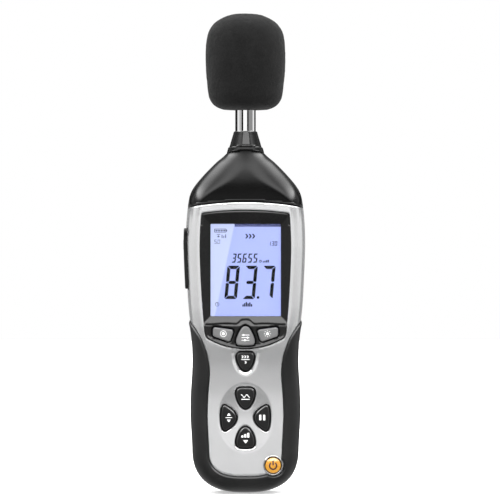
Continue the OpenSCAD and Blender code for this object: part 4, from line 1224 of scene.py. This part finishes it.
def windscreen():
    """The foam ball round the microphone's bore, with a finely uneven surface."""
    lo, hi = cad("windscreen")
    bore, bore_top = MIC_R + 0.12, cad("mic_grid")[1][2] + 1.4
    foot_z, foot_r, straight, top_z = 237.2, 14.2, 284, 296.5
    heights = np.concatenate([foot_z + 6.5 * np.linspace(0, 1, 24) ** 1.6, np.linspace(244.2, straight, 100),
                              straight + 12.5 * np.sin(np.linspace(0.05, np.pi / 2, 60))])
    foot = [(r, foot_z - 0.15 * math.sin((r - bore) / (foot_r - bore) * math.pi))
            for r in np.linspace(bore + 0.5, 13.4, 14)]
    lining = [(0.0, bore_top), (bore, bore_top), (bore, 260), (bore, 238.0)]
    prof = lining + foot + [(float(foam_line(z)), z) for z in heights] + [(0.0, top_z)]

    def uneven(row, r, z, c, s):
        if row > len(lining):
            p = Vector((r * c, r * s, z))
            lump = 0.22 * noise.noise(p * 0.09) + 0.1 * noise.noise(p * 0.45) + 0.09 * noise.noise(p * 1.6)
            r, z = r + lump * min(1.0, (r - bore) / 3.0), z + (lump * 0.6 if z > 290 else 0)
        return r, min(max(z, lo[2] - 0.1), hi[2] + 0.3)
    lathe("foam_ball", prof, FOAM, 330, closed=False, uneven=uneven, body="windscreen",
                    stands_for="windscreen", slot="foam")


windscreen()


# ------------------------------------------------------------ battery door

def door():
    """The battery door's cover, with its thumb grooves, two tabs and the screw's seat."""
    depth, screw = float(rear_line(60.0)), (0.0, 127.8)
    grooves = [109 + 2.6 * k for k in range(6)]

    def surface(uz):
        x, z = uz[:, 0], uz[:, 1]
        y = np.full(len(x), depth)
        for c in grooves:
            d = np.maximum(np.abs(z - c), (np.abs(x) - 9.5) * 0.8)
            y -= 0.55 * (1 - smooth01((d - 0.25) / 0.6))
        return cols(x, y, z)
    extra = np.array([(x, c + o) for c in grooves for o in (-0.85, -0.5, -0.2, 0.2, 0.5, 0.85)
                      for x in np.linspace(-11, 11, 50)])
    told = {"body": "battery_door", "slot": "black_shell"}
    skin("door_cover", spaced(ccw(box_loop(*DOOR, 3.9)), 0.8), [circle(screw, 2.75, 48)], surface, 1, BACK, step=1.1,
         wall=1.9, radius=0.35, hole_radius=0.35, extra=extra, stands_for="battery_door", **told)
    for i, x in enumerate((-4.5, 4.5)):
        slab("door_tab_%d" % i, box_loop(x - 2, x + 2, door_lo[2], 19.2, 0.5), door_lo[1], 18.65, BACK, **told)
        slab("door_tab_root_%d" % i, box_loop(x - 2, x + 2, 18.4, 20.2, 0.3), 18.5, 19.4, BACK, **told)
    seat = [(1.5, depth - 1.4), (2.75, depth - 1.4), (2.75, depth - 1.9), (1.5, depth - 1.9)]
    lathe("door_screw_seat", seat, BACK, 64, centre=screw, axis="y", **told)


door()


def rating_plate():
    """A blank foil plate with a printed border and empty rules, and nothing written on it."""
    lo, hi = cad("rating_plate")
    slab("rating_foil", box_loop(lo[0], hi[0], lo[2], hi[2], 1.2), lo[1], hi[1], PLATE, r=0.08,
         stands_for="rating_plate", slot="plate_silver")
    border = [box_loop(lo[0] + d, hi[0] - d, lo[2] + d, hi[2] - d, r) for d, r in ((0.8, 0.8), (1.15, 0.6))]
    rules = [box_loop(lo[0] + 3, hi[0] - 3, z, z + 0.3) for z in np.linspace(lo[2] + 3.4, hi[2] - 3.7, 4)]
    prisms("rating_rules", [border] + rules, flat(hi[1]), 0.02, PART_BLACK, step=2, side=1, slot="plate_silver")


rating_plate()


def bay_ledge():
    """The rim between the battery opening and the holder, with the door screw's hole."""
    lo, hi = cad("battery_holder")
    screw = cad("battery_door_screw")
    wide, top = DOOR[1] + 3, DOOR[3] + 3
    rim = [(-wide, 24), (lo[0], 24), (lo[0], hi[2]), (hi[0], hi[2]), (hi[0], 24), (wide, 24), (wide, top), (-wide, top)]
    hole = circle((0, (screw[0][2] + screw[1][2]) / 2), 1.7, 40)
    prisms("battery_bay_ledge", [[rim, hole]], flat(hi[1] - 0.9), 0.85, PART_BLACK, step=0.7, side=1,
           slot="black_shell")


bay_ledge()


def parting_rib():
    """A horseshoe rib inside the casing, which stops light passing through both grips' grooves."""
    zs, foot_z = np.linspace(5, 168, 80), 16.5
    outer, above = half_width(zs) - 5.5, zs > foot_z
    right = cols(outer, zs)
    back = cols(outer[above] - 8.5, zs[above])[::-1]
    loop = np.vstack([right, back, back[::-1] * [-1, 1], right[::-1] * [-1, 1]])
    prisms("casing_parting_rib", [loop], flat(0.5), 0.6, PART_BLACK, step=1.2, side=1, slot="black_shell")


parting_rib()


# ------------------------------------------------------------ the port cover

def port_cover():
    """The soft flap over the ports, with four ribs and a finger nub."""
    lo, hi = cad("port_cover")
    y0, y1, z0, z1 = lo[1] + 1.4, hi[1], lo[2], hi[2]
    loop = spaced(ccw(rounded([(y0, z0), (y1, z0), (y1, z1), (y0, z1)], [2.2, 1.0, 1.0, 2.2], 8)), 0.5)

    def top(y, z):
        ribs = sum(0.22 * np.exp(-((z - (z1 - 8.0 - 1.5 * k)) / 0.38) ** 2) for k in range(4))
        fall = 0.35 * (np.clip((-y - 5.5) / 4, 0, 1)) ** 2
        return half_width(z) + 1.3 - fall + ribs * smooth01((3 - np.abs(y + 4.5)) / 1.0)
    r, n, m, stops = 0.7, normals2(loop), len(loop), np.linspace(0, math.pi / 2, 7)
    verts = [(-(float(half_width(z)) - 0.85), y, z) for y, z in loop]
    for a in stops:
        q = loop - n * r * (1 - math.cos(a))
        t = top(q[:, 0], q[:, 1]) - r + r * math.sin(a)
        verts += [(-x, y, z) for x, (y, z) in zip(t, q)]
    rim = loop - n * r
    uz, tri, at = fill([rim], grid_points(rim, 0.5), 0.5)
    base, last = len(verts), len(stops) * m
    verts += [(-x, y, z) for x, (y, z) in zip(top(uz[:, 0], uz[:, 1]), uz)]
    # the last ring's vertices take the place of the filled top's own rim
    index = {int(v): last + i for i, v in enumerate(at[0])}
    faces = [tuple(range(m))] + bands(len(stops) + 1, m)
    faces += [tuple(index.get(int(v), base + int(v)) for v in t)[::-1] for t in tri]
    used = sorted({i for f in faces for i in f})
    number_of = {old: i for i, old in enumerate(used)}
    faces = [tuple(number_of[i] for i in f) for f in flipped(faces)]
    piece("port_flap", np.array(verts)[used], faces, FLAP, body="port_cover", stands_for="port_cover", slot="flap",
          sharp=60)
    c, seg, stops = np.array([lo[0] + 0.75, y0 - 0.35, z1 - 2.7]), 24, np.linspace(0, np.pi, 9)
    nub = [c + [0.55 * np.sin(a) * np.cos(b), 1.05 * np.sin(a) * np.sin(b), -2.1 * np.cos(a)]
           for a in stops for b in 2 * np.pi * np.arange(seg) / seg]
    piece("port_flap_nub", np.array(nub), sweep(rings_of(len(stops), seg), closed=False), FLAP, body="port_cover",
          slot="flap")


port_cover()


# ------------------------------------------------------------ CAD nodes that stay, with better finishes

KEEP = [(LENS, "display_lens"), (GUIDE, "lcd_backlight"), (SILICONE, "lcd_connector keypad_mat battery_door_pad"),
        (BOARD, "main_board preamp_board"), (BRASS, "mic_diaphragm tripod_insert"), (RUBBER, "tube_seal"),
        (PART_BLACK, "board_components mic_lead battery_holder port_panel dc_jack output_jack"),
        (STEEL, "mic_capsule mic_grid battery_plates battery_springs battery_door_screw casing_screws usb_socket"),
        (CELL, "battery_upper_left battery_upper_right battery_lower_left battery_lower_right"),
        (FLAP, "port_cover_anchor"), (BLUE, "trimmer_body"), (WHITE, "trimmer_rotor")]
for mat, names in KEEP:
    for name in names.split():
        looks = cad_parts[name].data.materials
        looks.clear()
        looks.append(mat)


# ------------------------------------------------------------ stage, light and camera

def plain(name, level, rough, emit, gloss):
    m, nt, b = nodes_of(name)
    feed(nt, b, {"Specular IOR Level": gloss, "Base Color": colour(level), "Roughness": rough})
    if emit:
        feed(nt, b, {"Emission Color": colour(1), "Emission Strength": emit})
    return m


def staged(name, verts, faces, mat, unseen):
    """A mesh of the stage, out of sight of the named kinds of ray."""
    me = bpy.data.meshes.new(name)
    me.from_pydata(verts, [], faces)
    me.materials.append(mat)
    ob = bpy.data.objects.new(name, me)
    bpy.context.scene.collection.objects.link(ob)
    for kind in unseen:
        setattr(ob, "visible_" + kind, False)


floor_z = BASE_Z - 0.0005
staged("floor", [(x, y, floor_z) for x, y in ((-3, -3), (3, -3), (3, 3), (-3, 3))], [(0, 1, 2, 3)],
       plain("floor_white", 0.8, 0.9, 0.45, 0.5), ["glossy"])
FLAG_R, FLAG_Z = 0.6, (BASE_Z + 0.228, BASE_Z + 0.292)


def flag(name, start, end, level):
    """A strip of card round the tube, from one azimuth to another, that only reflections see."""
    count = max(2, math.ceil(abs(end - start) / 8) + 1)
    at = [(FLAG_R * math.sin(a), PART_Y - FLAG_R * math.cos(a)) for a in np.radians(np.linspace(start, end, count))]
    staged(name, [(x, y, z) for x, y in at for z in FLAG_Z],
           [(2 * i, 2 * i + 1, 2 * i + 3, 2 * i + 2) for i in range(count - 1)],
           plain(name, 0.0, 1.0, level, 0.0), ["camera", "diffuse", "shadow", "transmission"])


flag("flag_left", -45, -25, 0.0)
flag("flag_left_pale", -72, -45, 0.55)
flag("flag_right", 17, 36, 0.03)
flag("flag_right_pale", 36, 88, 0.3)
flag("flag_behind", 116, 258, 0.02)

world = bpy.data.worlds.new("studio")
bpy.context.scene.world = world
world.use_nodes = True
wn = world.node_tree


def maths(op, a, b):
    return add(wn, "Math", 0, {0: a, 1: b}, operation=op)


def times(a, b):
    return maths("MULTIPLY", a, b)


def rise(value, lo, hi, out=1.0):
    return ramp(wn, value, lo, hi, 0, out, interpolation_type="SMOOTHSTEP")


def fall(value, lo, hi, out=1.0):
    return maths("SUBTRACT", out, rise(value, lo, hi, out))


def towards(direction):
    return add(wn, "VectorMath", "Value", {0: ray, 1: Vector(direction).normalized()}, operation="DOT_PRODUCT")


ray = add(wn, "TexCoord", "Generated", {})
up, front, side = towards((0, 0, 1)), towards((0, -1, 0)), towards((1, 0, 0))
beside = maths("ABSOLUTE", side, 0)
above, below = rise(up, -0.2, -0.05), fall(up, 0.2, 0.3)
glossy = add(wn, "LightPath", "Is Glossy Ray", {})
glow = [
    # in front, at both sides and overhead
    times(rise(front, 0.70, 0.78, 1.1), times(above, below)),
    times(rise(beside, 0.62, 0.70, 0.88), times(above, rise(front, -0.86, -0.66))),
    times(rise(up, 0.36, 0.75, 5.2), maths("ADD", rise(front, -0.4, 0.0, 0.7), 0.3)),
    # overhead in front and overhead at the sides, in reflections only
    times(glossy, times(rise(up, 0.38, 0.6, 8.0), rise(front, 0.2, 0.7))),
    times(glossy, times(rise(beside, 0.5, 0.75, 22.0), times(rise(up, 0.5, 0.62), rise(front, -0.8, -0.5)))),
    # behind, and from below
    rise(towards((0, 1, 0.1)), 0.75, 0.97, 0.3),
    fall(up, -0.45, -0.3, 0.35),
    times(fall(up, -0.3, -0.12, 0.5), fall(front, -0.1, 0.5)),
]
total = 0.04
for g in glow:
    total = maths("ADD", g, total)
seen = add(wn, "LightPath", "Is Camera Ray", {})
feed(wn, wn.nodes["Background"], {
    "Color": colour(1), "Strength": maths("ADD", times(seen, 1.0), times(maths("SUBTRACT", 1.0, seen), total))})

CENTRE = Vector((0.0028, PART_Y - 0.01, BASE_Z + 0.150))
DIST, SENSOR, SPAN = 1.8, 36, 0.3085
cam_data = bpy.data.cameras.new("camera")
cam = bpy.data.objects.new("camera", cam_data)
bpy.context.scene.collection.objects.link(cam)
cam.location = CENTRE + Vector((0, -DIST, 0))
cam.rotation_euler = (math.radians(90), 0, 0)
cam_data.sensor_width = SENSOR
cam_data.lens = SENSOR * DIST / SPAN
cam_data.clip_end = 20
bpy.context.scene.camera = cam
bpy.context.scene.view_settings.view_transform = "Standard"
